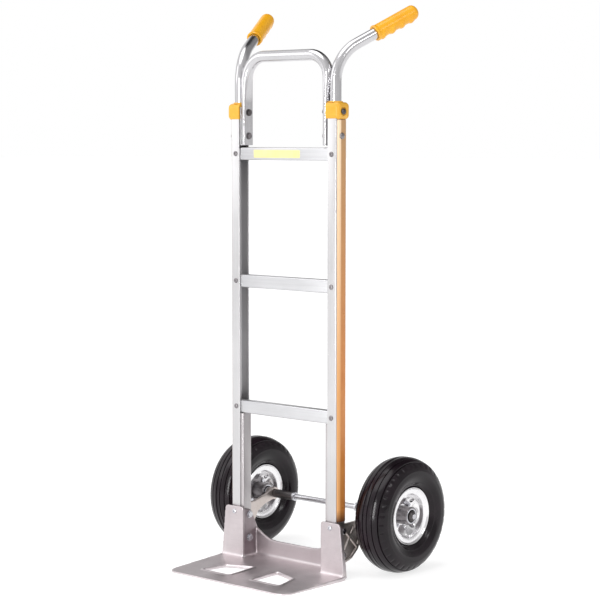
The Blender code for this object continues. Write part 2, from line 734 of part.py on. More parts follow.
def rim_profile(side):
    """Half of a split rim: flange, bead seat and disc, as a thin closed section."""
    seam = 0.0004
    line = [(0.0278, RIM_FLANGE_R), (0.0250, 0.0600), (0.0248, RIM_SEAT_R + 0.0004),
            (0.0120, RIM_SEAT_R), (0.0035, 0.0440), (seam, 0.0380), (seam, HUB_R + GAP)]
    back = [(RIM_DISC, HUB_R + GAP), (RIM_DISC, 0.0372), (0.0052, 0.0424), (0.0135, 0.0478),
            (0.0264, 0.0482), (0.0272, 0.0590), (0.0302, RIM_FLANGE_R - 0.0006)]
    return [(side * x, r) for x, r in line + back]


def rim_half(name, middle, side, parent, stem_cut=None):
    obj = finish(ring_bmesh(rim_profile(side), middle, WHEEL_SEGMENTS), name, chrome(), origin=middle,
                 parent=parent)
    if stem_cut is not None:
        cut(obj, stem_cut)


def hub(name, middle, side, parent):
    """The hub barrel, open at both ends for the bearings, with a flange behind the rim's disc."""
    bore = BEARING_R + GAP
    near = side * HUB_IN - middle[0]
    far = side * HUB_OUT - middle[0]
    face = -side * (RIM_DISC + GAP)
    back = face - side * HUB_FLANGE_THICK
    profile = [(near, bore), (near, HUB_R), (back, HUB_R), (back, HUB_FLANGE_R), (face, HUB_FLANGE_R),
               (face, HUB_R), (far, HUB_R), (far, bore)]
    finish(ring_bmesh(profile, middle, 16), name, bright_steel(), origin=middle, parent=parent)


def inner_tube(name, middle, side, parent):
    """The air tube with its valve stem; the stem's bore opens the tube's hollow."""
    def torus(half_x, half_r):
        points = []
        for i in range(8):
            angle = 2.0 * math.pi * (i + 0.5) / 8
            points.append((half_x * math.cos(angle), AIR_TUBE_R + half_r * math.sin(angle)))
        return points

    obj = finish(ring_bmesh(torus(0.0280, 0.0185), middle, 16), name, soft_rubber(),
                 origin=middle, parent=parent)
    stem_x = middle[0] + side * STEM_OFFSET
    top = (stem_x, middle[1], middle[2] + 0.0800)
    stem = spindle_bmesh([(0.0, STEM_R), (0.0330, STEM_R), (0.0345, 0.0038), (0.0470, 0.0038)],
                         top, (0, 0, -1), 10)
    cut(obj, cutter(f"join_stem_{name}", stem), "UNION")
    cut(obj, cutter(f"cut_air_{name}", ring_bmesh(torus(0.0258, 0.0163), middle, 16)))
    cut(obj, hole(f"cut_stem_{name}", (stem_x, middle[1], middle[2] + 0.0600), (0, 0, 1), 0.0015, 0.070, 8))


def wheel(side_name, side):
    """One wheel: everything that turns, parented to an empty on its axis."""
    pivot = bpy.data.objects.new(f"wheel_axis_{side_name}", None)
    pivot.location = (side * WHEEL_X, WHEEL_Y, TYRE_R)
    bpy.context.collection.objects.link(pivot)
    middle = tuple(pivot.location)
    tyre(f"tyre_{side_name}", middle, pivot)
    inner_tube(f"inner_tube_{side_name}", middle, side, pivot)
    stem_x = middle[0] + side * STEM_OFFSET
    stem_cut = hole(f"cut_valve_{side_name}", (stem_x, middle[1], middle[2] + 0.0460), (0, 0, 1),
                    STEM_R + GAP, 0.024, 10)
    rim_half(f"rim_outer_{side_name}", middle, side, pivot, stem_cut)
    rim_half(f"rim_inner_{side_name}", middle, -side, pivot)
    hub(f"hub_{side_name}", middle, side, pivot)
    for place, near, far in (("inner", HUB_IN, HUB_IN + BEARING_WIDE),
                             ("outer", HUB_OUT - BEARING_WIDE, HUB_OUT)):
        low, high = span(side, near, far)
        plain_ring(f"bearing_{place}_{side_name}", bright_steel(), low, high, AXLE_R + GAP, BEARING_R,
                   parent=pivot)


# ---------------------------------------------------------------- assembly
def clear_scene():
    for obj in list(bpy.data.objects):
        bpy.data.objects.remove(obj, do_unlink=True)


def main():
    clear_scene()
    all_bolts, all_feet, front_holes = [], [], []
    rivets = {bar: [] for bar, _ in bar_heights()}
    for side_name, side in SIDES:
        bolts = bolt_holes(side_name, side)
        feet = foot_holes(side_name, side)
        front = hole(f"cut_front_{side_name}", front_screw_place(side), (0, 1, 0), SCREW_R + GAP, 0.026)
        side_rivets = []
        for bar, height in bar_heights():
            tool = rivet_hole(bar, height, side_name, side)
            rivets[bar].append(tool)
            side_rivets.append(tool)
            rivet(bar, height, side_name, side)
        rail(side_name, side, bolts, side_rivets, feet + [front])
        stiffener(side_name, side, feet + [front])
        handle_tube(side_name, side, bolts)
        grip(side_name, side)
        collar(side_name, side, bolts)
        side_strip(side_name, side, bolts)
        for level, height in BOLT_HEIGHTS:
            handle_bolt(level, height, side_name, side)
        for level, height in FOOT_BOLT_HEIGHTS:
            foot_bolt(level, height, side_name, side)
        front_screw(side_name, side)
        bracket(side_name, side, feet)
        axle_fittings(side_name, side)
        wheel(side_name, side)
        all_bolts += bolts
        all_feet += feet
        front_holes.append(front)
    for bar, height in bar_heights():
        crossbar(bar, height, rivets[bar])
    loop_handle(all_bolts)
    nose_plate(all_feet, front_holes)
    axle()


main()
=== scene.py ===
"""Looks of the hand truck: camera, light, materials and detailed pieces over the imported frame."""
import math
from math import cos, pi, sin

import bmesh
import bpy
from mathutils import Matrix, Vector

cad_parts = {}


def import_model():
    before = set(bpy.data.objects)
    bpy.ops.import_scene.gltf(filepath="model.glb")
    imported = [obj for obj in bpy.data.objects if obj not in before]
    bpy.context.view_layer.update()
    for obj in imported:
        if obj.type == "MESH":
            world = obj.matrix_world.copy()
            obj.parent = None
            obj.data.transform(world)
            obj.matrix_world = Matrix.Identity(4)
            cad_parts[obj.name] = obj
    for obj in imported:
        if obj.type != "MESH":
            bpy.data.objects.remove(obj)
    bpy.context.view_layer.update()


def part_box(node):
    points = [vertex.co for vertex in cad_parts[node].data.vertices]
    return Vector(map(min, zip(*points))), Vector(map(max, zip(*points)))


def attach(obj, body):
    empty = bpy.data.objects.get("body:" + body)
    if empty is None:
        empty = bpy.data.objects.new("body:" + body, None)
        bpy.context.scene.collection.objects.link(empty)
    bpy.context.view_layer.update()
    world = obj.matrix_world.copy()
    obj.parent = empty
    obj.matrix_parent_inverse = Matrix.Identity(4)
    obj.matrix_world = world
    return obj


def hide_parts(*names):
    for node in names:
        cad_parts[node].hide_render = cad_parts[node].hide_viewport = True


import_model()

SIDES = (("left", -1), ("right", 1))
X, Y, Z = Vector((1, 0, 0)), Vector((0, 1, 0)), Vector((0, 0, 1))


# ---------------------------------------------------------------- node material helpers
class Nodes:
    """A short way to wire a material's or world's node tree."""

    def __init__(self, tree):
        self.tree = tree
        tree.nodes.clear()

    def add(self, kind, inputs=None, **props):
        node = self.tree.nodes.new(kind)
        for key, value in props.items():
            setattr(node, key, value)
        for key, value in (inputs or {}).items():
            socket = node.inputs[key]
            if isinstance(value, bpy.types.NodeSocket):
                self.tree.links.new(value, socket)
            else:
                socket.default_value = value
        return node

    def maths(self, operation, a, b=0.0):
        return self.add("ShaderNodeMath", {0: a, 1: b}, operation=operation).outputs[0]

    def times(self, a, b):
        return self.maths("MULTIPLY", a, b)

    def plus(self, a, b):
        return self.maths("ADD", a, b)

    def less(self, a, b):
        return self.maths("SUBTRACT", a, b)

    def noise(self, vector, scale, detail=3.0, rough=0.55):
        node = self.add("ShaderNodeTexNoise", {"Vector": vector, "Scale": scale, "Detail": detail,
                                               "Roughness": rough})
        return node.outputs["Fac"]

    def stretched(self, vector, scale):
        return self.add("ShaderNodeMapping", {"Vector": vector, "Scale": scale}).outputs[0]

    def ramp(self, value, low, high, to_low=0.0, to_high=1.0):
        node = self.add("ShaderNodeMapRange", {"Value": value, "From Min": low, "From Max": high,
                                               "To Min": to_low, "To Max": to_high}, clamp=True)
        return node.outputs[0]

    def mix(self, factor, a, b):
        return self.add("ShaderNodeMix", {0: factor, 6: a, 7: b}, data_type="RGBA").outputs[2]

    def split(self, vector):
        return self.add("ShaderNodeSeparateXYZ", {0: vector}).outputs[:3]

    def bump(self, height, distance):
        inputs = {"Height": height, "Distance": distance, "Strength": 1.0}
        return self.add("ShaderNodeBump", inputs).outputs[0]


def rgb(red, green, blue):
    """An sRGB colour, 0 to 255, as linear RGBA."""
    def linear(c):
        c /= 255.0
        return c / 12.92 if c <= 0.04045 else ((c + 0.055) / 1.055) ** 2.4
    return (linear(red), linear(green), linear(blue), 1.0)


def surface(name, build, **constants):
    """A material: build(nodes, coords) returns the linked inputs, constants go on the shader's sockets."""
    mat = bpy.data.materials.new(name)
    mat.use_nodes = True
    n = Nodes(mat.node_tree)
    coords = n.add("ShaderNodeTexCoord").outputs["Object"]
    linked = build(n, coords)
    shader = n.add("ShaderNodeBsdfPrincipled", {**constants, **linked})
    n.add("ShaderNodeOutputMaterial", {"Surface": shader.outputs[0]})
    return mat


def metal(name, light, dark, rough, spread, grain, line_bump=0.00002, anisotropy=0.0, scuffs=0.06):
    """Drawn or extruded metal: fine lines along grain's small axis, cloudy tone and scuffs."""
    def build(n, coords):
        lines = n.noise(n.stretched(coords, grain), 1.0, 4.0, 0.65)
        cloud = n.noise(coords, 9.0, 3.0)
        scuff = n.ramp(n.noise(n.stretched(coords, (70.0, 70.0, 18.0)), 1.0, 6.0, 0.7), 0.6, 0.78)
        tone = n.plus(n.times(lines, 0.55), n.times(cloud, 0.45))
        colour = n.mix(n.ramp(tone, 0.35, 0.65), dark, light)
        colour = n.mix(n.times(scuff, scuffs * 3.0), colour, [c * 0.72 for c in dark[:3]] + [1.0])
        wet = n.plus(n.ramp(lines, 0.3, 0.7, rough - spread, rough + spread), n.times(scuff, scuffs))
        return {"Base Color": colour, "Roughness": wet, "Normal": n.bump(lines, line_bump)}
    return surface(name, build, Metallic=1.0, Anisotropic=anisotropy)


def nose_plate_painted_shade(n, coords, colour):
    """Painted shade on the nose plate: the ears' inner sides are darkened towards a grey, and the back wall
    in part.
    """
    ear_middle, painted_shade_tone = 0.1167, rgb(148, 136, 140)
    x, y, z = n.split(coords)
    away = n.maths("ABSOLUTE", n.less(n.maths("ABSOLUTE", x), ear_middle))
    # mask of the ears' inner sides behind their front walls, where the painted shade goes
    inside = n.times(n.ramp(away, 0.0042, 0.003), n.ramp(y, -0.004, 0.001))
    inside = n.times(inside, n.times(n.ramp(y, 0.04, 0.037), n.ramp(z, 0.009, 0.014)))
    # the back wall's face takes a third of the painted shade
    inside = n.maths("MAXIMUM", inside, n.times(n.ramp(y, 0.034, 0.0376), 0.35))
    uneven = n.ramp(n.noise(coords, 60.0, 4.0), 0.3, 0.7, 0.75, 1.0)
    # everything above the plate's top is mixed a little towards the same grey
    colour = n.mix(n.ramp(z, 0.012, 0.03, 0.0, 0.22), colour, painted_shade_tone)
    return n.mix(n.times(inside, uneven), colour, painted_shade_tone)


def cast_metal(name, light, dark, rough, tint_and_painted_light=None):
    """Sand-cast aluminium: sandy grain, cloudy tone and fine pits."""
    def build(n, coords):
        grain = n.noise(coords, 900.0, 4.0, 0.6)
        lumps = n.noise(coords, 160.0, 3.0)
        cloud = n.noise(coords, 14.0, 4.0, 0.6)
        strokes = n.noise(n.stretched(coords, (30.0, 420.0, 420.0)), 1.0, 4.0)
        tone = n.plus(n.times(cloud, 0.8), n.times(strokes, 0.2))
        colour = n.mix(n.ramp(tone, 0.35, 0.65), dark, light)
        pits = n.ramp(n.noise(coords, 420.0, 2.0), 0.66, 0.74)
        colour = n.mix(n.times(pits, 0.35), colour, [c * 0.45 for c in dark[:3]] + [1.0])
        # the optional tint; the nose plate's one paints shade
        if tint_and_painted_light is not None:
            colour = tint_and_painted_light(n, coords, colour)
        height = n.plus(grain, n.times(lumps, 1.5))
        return {"Base Color": colour, "Roughness": n.ramp(cloud, 0.3, 0.7, rough - 0.08, rough + 0.1),
                "Normal": n.bump(height, 0.00012)}
    return surface(name, build, Metallic=1.0)


def plastic(name, light, dark, rough, texture=0.00003, tint_and_painted_light=None):
    """Moulded plastic: fine spark-eroded texture, slight colour drift and rubbed patches."""
    def build(n, coords):
        fine = n.noise(coords, 1600.0, 2.0)
        cloud = n.noise(coords, 26.0, 3.0)
        flow = n.noise(n.stretched(coords, (90.0, 90.0, 25.0)), 1.0, 4.0, 0.6)
        tone = n.plus(n.times(cloud, 0.6), n.times(flow, 0.4))
        colour = n.mix(n.ramp(tone, 0.36, 0.64), dark, light)
        # the optional tint; the side strip's one paints a highlight along its front edge
        if tint_and_painted_light is not None:
            colour = tint_and_painted_light(n, coords, colour)
        rubbed = n.ramp(n.noise(coords, 60.0, 5.0, 0.65), 0.52, 0.7)
        return {"Base Color": colour, "Roughness": n.less(rough, n.times(rubbed, 0.1)),
                "Normal": n.bump(fine, texture)}
    return surface(name, build, IOR=1.49)


def rubber(name, light, dark, rough):
    """Rubber: fine grain, cloudy gloss and dusty patches."""
    def build(n, coords):
        fine = n.noise(coords, 1300.0, 3.0)
        cloud = n.noise(coords, 22.0, 5.0, 0.6)
        patch = n.noise(coords, 75.0, 4.0)
        colour = n.mix(n.ramp(cloud, 0.35, 0.68), dark, light)
        dust = n.ramp(patch, 0.58, 0.78)
        colour = n.mix(n.times(dust, 0.05), colour, rgb(104, 94, 98))
        return {"Base Color": colour, "Roughness": n.ramp(cloud, 0.3, 0.7, rough - 0.07, rough + 0.09),
                "Normal": n.bump(n.plus(fine, n.times(patch, 0.8)), 0.00003)}
    return surface(name, build, IOR=1.36)


def strip_tone_and_painted_highlight(n, coords, colour):
    """Paler along the strip's front edge, a painted highlight; browner towards the top, dark at its foot."""
    _, y, z = n.split(coords)
    colour = n.mix(n.ramp(z, 0.45, 0.98), colour, rgb(190, 150, 106))
    # painted highlight along the front edge, paler still higher up
    painted_edge_highlight = n.mix(n.ramp(z, 0.4, 0.98), rgb(222, 160, 98), rgb(250, 224, 190))
    colour = n.mix(n.ramp(y, 0.0125, 0.0085), colour, painted_edge_highlight)
    return n.mix(n.ramp(z, 0.15, 0.124), colour, rgb(92, 50, 26))


ALU_RAIL = metal("alu_extruded", rgb(214, 213, 214), rgb(199, 198, 199), 0.34, 0.06, (700.0, 700.0, 5.0),
                 anisotropy=0.3)
# the rail's aluminium made rougher and darker for the stiffener inside the channel; its darker colour is
# painted shade
ALU_STIFF_SHADED = metal("alu_stiffener_painted_shade", rgb(204, 200, 201), rgb(184, 180, 181), 0.4, 0.07, (700.0, 700.0, 5.0),
                  anisotropy=0.3)
ALU_BAR = metal("alu_crossbar", rgb(215, 215, 217), rgb(199, 199, 201), 0.36, 0.06, (5.0, 700.0, 700.0),
                anisotropy=0.3)
ALU_TUBE = metal("alu_polished_tube", rgb(210, 209, 211), rgb(195, 194, 196), 0.17, 0.04,
                 (500.0, 500.0, 14.0), line_bump=0.00001, scuffs=0.04)
# its tint paints shade on the ears' inner sides and on the back wall
ALU_CAST = cast_metal("alu_cast_plate", rgb(222, 214, 216), rgb(202, 194, 196), 0.42, tint_and_painted_light=nose_plate_painted_shade)
ZINC = metal("zinc_plated", rgb(220, 220, 224), rgb(190, 190, 196), 0.24, 0.07, (400.0, 400.0, 400.0))
DARK_STEEL = metal("dark_steel", rgb(112, 108, 108), rgb(82, 78, 79), 0.36, 0.08, (300.0, 300.0, 300.0))
RIVET_STEEL = metal("rivet_steel", rgb(158, 154, 156), rgb(122, 118, 120), 0.34, 0.08, (300.0, 300.0, 300.0))
ROD_STEEL = metal("drawn_rod_steel", rgb(206, 205, 208), rgb(176, 175, 180), 0.22, 0.06, (14.0, 600.0, 600.0))
ALU_BRACKET = cast_metal("alu_cast_bracket", rgb(220, 211, 207), rgb(192, 182, 177), 0.36)
CHROME = metal("bright_plating", rgb(244, 243, 244), rgb(230, 229, 231), 0.2, 0.04, (240.0, 240.0, 240.0),
               line_bump=0.00001, scuffs=0.05)
YELLOW = plastic("yellow_moulding", rgb(240, 177, 30), rgb(233, 163, 20), 0.27, 0.000004)
COLLAR_YELLOW = plastic("yellow_collar_moulding", rgb(231, 174, 56), rgb(223, 163, 42), 0.34, 0.00001)
# its tint paints a highlight along the strip's front edge
ORANGE = plastic("orange_strip_moulding", rgb(212, 138, 70), rgb(200, 124, 56), 0.36, tint_and_painted_light=strip_tone_and_painted_highlight)
LABEL = plastic("plain_label_film", rgb(240, 228, 160), rgb(236, 222, 146), 0.45, 0.00001)
TYRE = rubber("tyre_rubber_black", rgb(28, 17, 25), rgb(15, 9, 14), 0.18)
SOFT_RUBBER = rubber("tube_rubber_black", rgb(48, 45, 46), rgb(34, 31, 32), 0.58)


# ---------------------------------------------------------------- mesh helpers
def linked(name, data):
    obj = bpy.data.objects.new(name, data)
    bpy.context.scene.collection.objects.link(obj)
    return obj


def to_mesh(name, bm):
    """A mesh from a bmesh with its faces outwards; the bmesh is freed."""
    bmesh.ops.recalc_face_normals(bm, faces=bm.faces)
    mesh = bpy.data.meshes.new(name)
    bm.to_mesh(mesh)
    bm.free()
    return mesh


def make(name, bm, mat, node=None, angle=32.0, body="frame"):
    """A finished piece from a bmesh built in the row frame; node is the CAD node that it replaces."""
    mesh = to_mesh(name, bm)
    mesh.shade_smooth()
    mesh.set_sharp_from_angle(angle=math.radians(angle))
    mesh.materials.append(mat)
    obj = linked(name, mesh)
    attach(obj, body)
    if node:
        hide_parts(node)


def absorb(bm, *others):
    """Adds the other bmeshes' faces to bm."""
    for other in others:
        mesh = to_mesh("part", other)
        bm.from_mesh(mesh)
        bpy.data.meshes.remove(mesh)
    return bm


def angles(count):
    """The angles of a full turn in equal steps."""
    return [2.0 * pi * i / count for i in range(count)]


def stitch(bm, rings):
    """Faces between each closed ring of vertices and the next."""
    count = len(rings[0])
    for here, there in zip(rings, rings[1:]):
        for i in range(count):
            k = (i + 1) % count
            bm.faces.new((here[i], here[k], there[k], there[i]))


def rounded(points, radii, steps=4):
    """A closed outline with its corners turned into arcs; radii is one number or one per point."""
    out = []
    count = len(points)
    for i, point in enumerate(points):
        radius = radii[i] if isinstance(radii, (list, tuple)) else radii
        p = Vector(point)
        a, b = Vector(points[i - 1]) - p, Vector(points[(i + 1) % count]) - p
        corner = a.angle(b)
        if radius <= 0.0 or corner > 3.1:
            out.append(tuple(p))
            continue
        back = min(radius / math.tan(corner / 2.0), 0.48 * a.length, 0.48 * b.length)
        true = back * math.tan(corner / 2.0)
        centre = p + (a.normalized() + b.normalized()).normalized() * (true / sin(corner / 2.0))
        first, last = p + a.normalized() * back - centre, p + b.normalized() * back - centre
        start = math.atan2(first.y, first.x)
        turn = (math.atan2(last.y, last.x) - start + pi) % (2.0 * pi) - pi
        for k in range(steps + 1):
            angle = start + turn * k / steps
            out.append((centre.x + true * cos(angle), centre.y + true * sin(angle)))
    return out


def flip(outline, s):
    return [(a * s, b) for a, b in outline]


def square_to(direction):
    """Two unit vectors square to a direction and to each other."""
    across = direction.cross(Z if abs(direction.z) < 0.9 else Y).normalized()
    return across, direction.cross(across)


def prism(outline, axis, low, high, edge=0.0, segments=2):
    """An outline extruded along an axis, with small bevels round both ends."""
    across, up, along = {"X": (Y, Z, X), "Y": (X, Z, Y), "Z": (X, Y, Z)}[axis]
    bm = bmesh.new()
    rings = [[bm.verts.new(across * a + up * b + along * at) for a, b in outline] for at in (low, high)]
    caps = [bm.faces.new(ring) for ring in rings]
    stitch(bm, rings)
    bmesh.ops.recalc_face_normals(bm, faces=bm.faces)
    if edge > 0.0:
        rims = list({e for cap in caps for e in cap.edges})
        bmesh.ops.bevel(bm, geom=rims, offset=edge, segments=segments, profile=0.5, affect="EDGES",
                        clamp_overlap=True)
    return bm


def block(a, b):
    """A box between two corners."""
    return prism([(a[0], a[1]), (b[0], a[1]), (b[0], b[1]), (a[0], b[1])], "Z", a[2], b[2])


def lathe(profile, origin, direction, segments, closed=True):
    """A closed (distance, radius) profile turned about a direction."""
    across, up = square_to(direction)
    spokes = [across * cos(angle) + up * sin(angle) for angle in angles(segments)]
    bm = bmesh.new()
    rings = [[bm.verts.new(Vector(origin) + direction * distance + spoke * radius) for spoke in spokes]
             for distance, radius in profile]
    if closed:
        rings.append(rings[0])
    else:
        bm.faces.new(rings[0])
        bm.faces.new(rings[-1])
    stitch(bm, rings)
    return bm


def rod(profile, origin, direction, segments):
    """An open profile turned about a direction, with flat ends."""
    return lathe(profile, origin, direction, segments, False)


def hexagon(origin, direction, low, high, half_flats, chamfer, turn):
    """A hex head or nut between two distances along a direction."""
    across, up = square_to(direction)
    corner = half_flats / cos(pi / 6.0) * 0.985
    bm = bmesh.new()
    rings = []
    for at, grow in ((low, 0.9), (low + chamfer, 1.0), (high - chamfer, 1.0), (high, 0.9)):
        ring = []
        for angle in angles(24):
            radius = min(half_flats / cos(angle % (pi / 3.0) - pi / 6.0), corner) * grow
            spoke = across * cos(angle + turn) + up * sin(angle + turn)
            ring.append(bm.verts.new(Vector(origin) + direction * at + spoke * radius))
        rings.append(ring)
    bm.faces.new(rings[0])
    bm.faces.new(rings[-1])
    stitch(bm, rings)
    return bm


def tube(stations, sides, wall):
    """A hollow tube through stations of (centre, u, v, half_u, half_v, squareness), open ended."""
    bm = bmesh.new()

    def section(station, inset):
        centre, u, v, half_u, half_v, power = station
        ring = []
        for angle in angles(sides):
            c, s = cos(angle), sin(angle)
            a = math.copysign(abs(c) ** (2.0 / power), c) * (half_u - inset)
            b = math.copysign(abs(s) ** (2.0 / power), s) * (half_v - inset)
            ring.append(bm.verts.new(centre + u * a + v * b))
        return ring

    outer = [section(station, 0.0) for station in stations]
    inner = [section(station, wall) for station in stations]
    stitch(bm, outer + inner[::-1] + outer[:1])
    return bm


def carved(base, add=(), take=(), voxel=0.0, smooth=0):
    """The base joined with some solids and cut by others; with a voxel size, also remeshed and softened."""
    obj = linked("base", to_mesh("base", base))
    used = [obj]
    for operation, solids in (("UNION", add), ("DIFFERENCE", take)):
        for bm in solids:
            used.append(linked("tool", to_mesh("tool", bm)))
            mod = obj.modifiers.new("boolean", "BOOLEAN")
            mod.operation, mod.solver, mod.object = operation, "EXACT", used[-1]
    if voxel:
        mod = obj.modifiers.new("cast", "REMESH")
        mod.mode, mod.voxel_size, mod.adaptivity = "VOXEL", voxel, 0.0
        mod = obj.modifiers.new("soften", "SMOOTH")
        mod.factor, mod.iterations = 0.5, smooth
    bpy.context.view_layer.update()
    mesh = bpy.data.meshes.new_from_object(obj.evaluated_get(bpy.context.evaluated_depsgraph_get()))
    result = bmesh.new()
    result.from_mesh(mesh)
    for data in [mesh] + [each.data for each in used]:
        bpy.data.meshes.remove(data)
    return result


def extent(node):
    """(near x, far x, y low, y high, z low, z high) of a CAD node, x as distances from the middle."""
    lo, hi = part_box(node)
    near, far = sorted((abs(lo.x), abs(hi.x)))
    return near, far, lo.y, hi.y, lo.z, hi.z


def cross_axis(node):
    """(near x, far x, axis point on the truck's middle plane) of a CAD piece that lies across the truck."""
    near, far, front, back, low, high = extent(node)
    return near, far, (0.0, (front + back) / 2.0, (low + high) / 2.0)


def span(s, near, far):
    return (near, far) if s > 0 else (-far, -near)


# ---------------------------------------------------------------- uprights and crossbars
GAP, WALL, BAR_WALL = 0.0003, 0.0023, 0.0024
LABEL_FROM, LABEL_TO, LABEL_HALF = -0.086, 0.048, 0.0085


def rail(side, s):
    near, far, front, back, low, high = extent(f"rail_{side}")
    points = [(near, front), (far, front), (far, back), (near, back), (near, back - WALL),
              (far - WALL, back - WALL), (far - WALL, front + WALL), (near, front + WALL)]
    radii = [0.0009, 0.0026, 0.0026, 0.0009, 0.0007, 0.0014, 0.0014, 0.0007]
    bm = prism(flip(rounded(points, radii, 5), s), "Z", low, high, 0.0004)
    make(f"upright_{side}", bm, ALU_RAIL, f"rail_{side}")


def stiffener(side, s):
    near, far, front, back, low, high = extent(f"rail_stiffener_{side}")
    points = [(far, front), (far, front + WALL), (near + WALL, front + WALL), (near + WALL, back - WALL),
              (far, back - WALL), (far, back), (near, back), (near, front)]
    radii = [0.0006, 0.0006, 0.0016, 0.0016, 0.0006, 0.0006, 0.0034, 0.0034]
    bm = prism(flip(rounded(points, radii, 6), s), "Z", low, high, 0.0004)
    make(f"foot_stiffener_{side}", bm, ALU_STIFF_SHADED, f"rail_stiffener_{side}")


def crossbar(bar):
    lo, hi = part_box(f"crossbar_{bar}")
    w = BAR_WALL
    points = [(lo.y, lo.z), (hi.y, lo.z), (hi.y, lo.z + w), (lo.y + w, lo.z + w), (lo.y + w, hi.z - w),
              (hi.y, hi.z - w), (hi.y, hi.z), (lo.y, hi.z)]
    radii = [0.003, 0.0007, 0.0007, 0.0012, 0.0012, 0.0007, 0.0007, 0.003]
    bm = prism(rounded(points, radii, 6), "X", lo.x, hi.x, 0.0003)
    make(f"cross_member_{bar}", bm, ALU_BAR, f"crossbar_{bar}")


def rivet(bar, side, s):
    near, far, front, back, low, high = extent(f"rivet_{bar}_{side}")
    place = (s * (near + far) / 2.0, front, (low + high) / 2.0)
    profile = [(0.0009, 0.0012), (0.0002, 0.0016), (0.0000, 0.0022), (0.0003, 0.0036), (0.001, 0.0048),
               (0.002, 0.0056), (0.0026, 0.0058), (0.0027, 0.0027), (back - front, 0.0027)]
    make(f"blind_rivet_{bar}_{side}", rod(profile, place, Y, 28), RIVET_STEEL, f"rivet_{bar}_{side}")


def plain_label():
    """A plain film label on the top crossbar, without any lettering."""
    lo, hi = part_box("crossbar_top")
    middle = (lo.z + hi.z) / 2.0
    low, high = middle - LABEL_HALF, middle + LABEL_HALF
    outline = rounded([(LABEL_FROM, low), (LABEL_TO, low), (LABEL_TO, high), (LABEL_FROM, high)], 0.0025, 5)
    bm = prism(outline, "Y", lo.y - 0.00035, lo.y + 0.0002, 0.00012, 1)
    make("plain_label", bm, LABEL)


# ---------------------------------------------------------------- handles
TUBE_R, TUBE_WALL = 0.0125, 0.0018
HANDLE_X, HANDLE_Y = 0.1375, 0.0155
BEND_START, BEND_R = 1.069, 0.0913
GRIP_TURN, GRIP_RISE = math.radians(23.2), math.radians(27.2)
STRAIGHT = 0.1628
GRIP_LENGTH, GRIP_R, GRIP_SWELL, FINGERS = 0.113, 0.0165, 0.003, 4
LOOP_X, LOOP_HALF_THICK, LOOP_HALF_WIDE = 0.1177, 0.0067, 0.015
LOOP_TOP, LOOP_BEND_R = 1.128, 0.051


def handle_direction(s):
    flat = Vector((s * sin(GRIP_TURN), cos(GRIP_TURN), 0.0))
    return flat, flat * cos(GRIP_RISE) + Z * sin(GRIP_RISE)


def handle_path(s, steps=22):
    flat, along = handle_direction(s)
    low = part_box("handle_tube_right")[0].z
    base = Vector((s * HANDLE_X, HANDLE_Y, BEND_START))
    points = [(Vector((base.x, base.y, low)), Z), (Vector((base.x, base.y, low + 0.0005)), Z)]
    turn = pi / 2.0 - GRIP_RISE
    for i in range(steps + 1):
        angle = turn * i / steps
        centre = base + flat * BEND_R * (1.0 - cos(angle)) + Z * BEND_R * sin(angle)
        points.append((centre, flat * sin(angle) + Z * cos(angle)))
    points.append((points[-1][0] + along * (STRAIGHT - 0.008), along))
    return points


def handle_tube(side, s):
    flat, _ = handle_direction(s)
    across = Z.cross(flat)
    stations = [(centre, across, across.cross(along), TUBE_R, TUBE_R, 2.0)
                for centre, along in handle_path(s)]
    make(f"side_handle_{side}", tube(stations, 48, TUBE_WALL), ALU_TUBE, f"handle_tube_{side}",
         80.0)


def grip_radius(f, angle):
    """Outside of a grip at fraction f of its length; angle pi/2 is on top, -pi/2 underneath."""
    down = max(0.0, -sin(angle))
    ends = math.sqrt(max(0.0, 1.0 - ((f - 0.9) / 0.115) ** 2)) if f > 0.9 else 1.0
    wave = 0.5 - 0.5 * cos(2.0 * pi * FINGERS * min(1.0, f / 0.92))
    radius = GRIP_R * ends + GRIP_SWELL * wave ** 1.7 * ends * down ** 1.3
    radius += 0.0012 * max(0.0, 1.0 - (f / 0.055) ** 4) if f < 0.055 else 0.0
    return radius


def grip(side, s):
    flat, along = handle_direction(s)
    tip = handle_path(s)[-2][0] + along * STRAIGHT
    mouth = tip - along * GRIP_LENGTH
    across = Z.cross(flat)
    over = across.cross(along)
    if over.z < 0.0:
        over = -over
    sides, steps = 84, 96
    bm = bmesh.new()

    def section(distance, radius_at):
        return [bm.verts.new(mouth + along * distance
                             + (across * cos(a) + over * sin(a)) * radius_at(a))
                for a in angles(sides)]

    bore = TUBE_R + 0.0004
    rings = [section(GRIP_LENGTH - 0.006, lambda a: bore), section(0.0006, lambda a: bore),
             section(0.0, lambda a: bore + 0.0006), section(0.0, lambda a: grip_radius(0.0, a) - 0.0007)]
    for i in range(1, steps + 1):
        f = 0.985 * i / steps
        rings.append(section(GRIP_LENGTH * f, lambda a, f=f: grip_radius(f, a)))
    stitch(bm, rings)
    bm.faces.new(rings[0])
    bm.faces.new(rings[-1])
    make(f"hand_grip_{side}", bm, YELLOW, f"grip_{side}", 50.0)


def loop_station(centre, normal, roundness):
    half_u = LOOP_HALF_THICK + (TUBE_R - LOOP_HALF_THICK) * roundness
    half_v = LOOP_HALF_WIDE + (TUBE_R - LOOP_HALF_WIDE) * roundness
    return (centre, normal, Y, half_u, half_v, 3.2 - 1.2 * roundness)


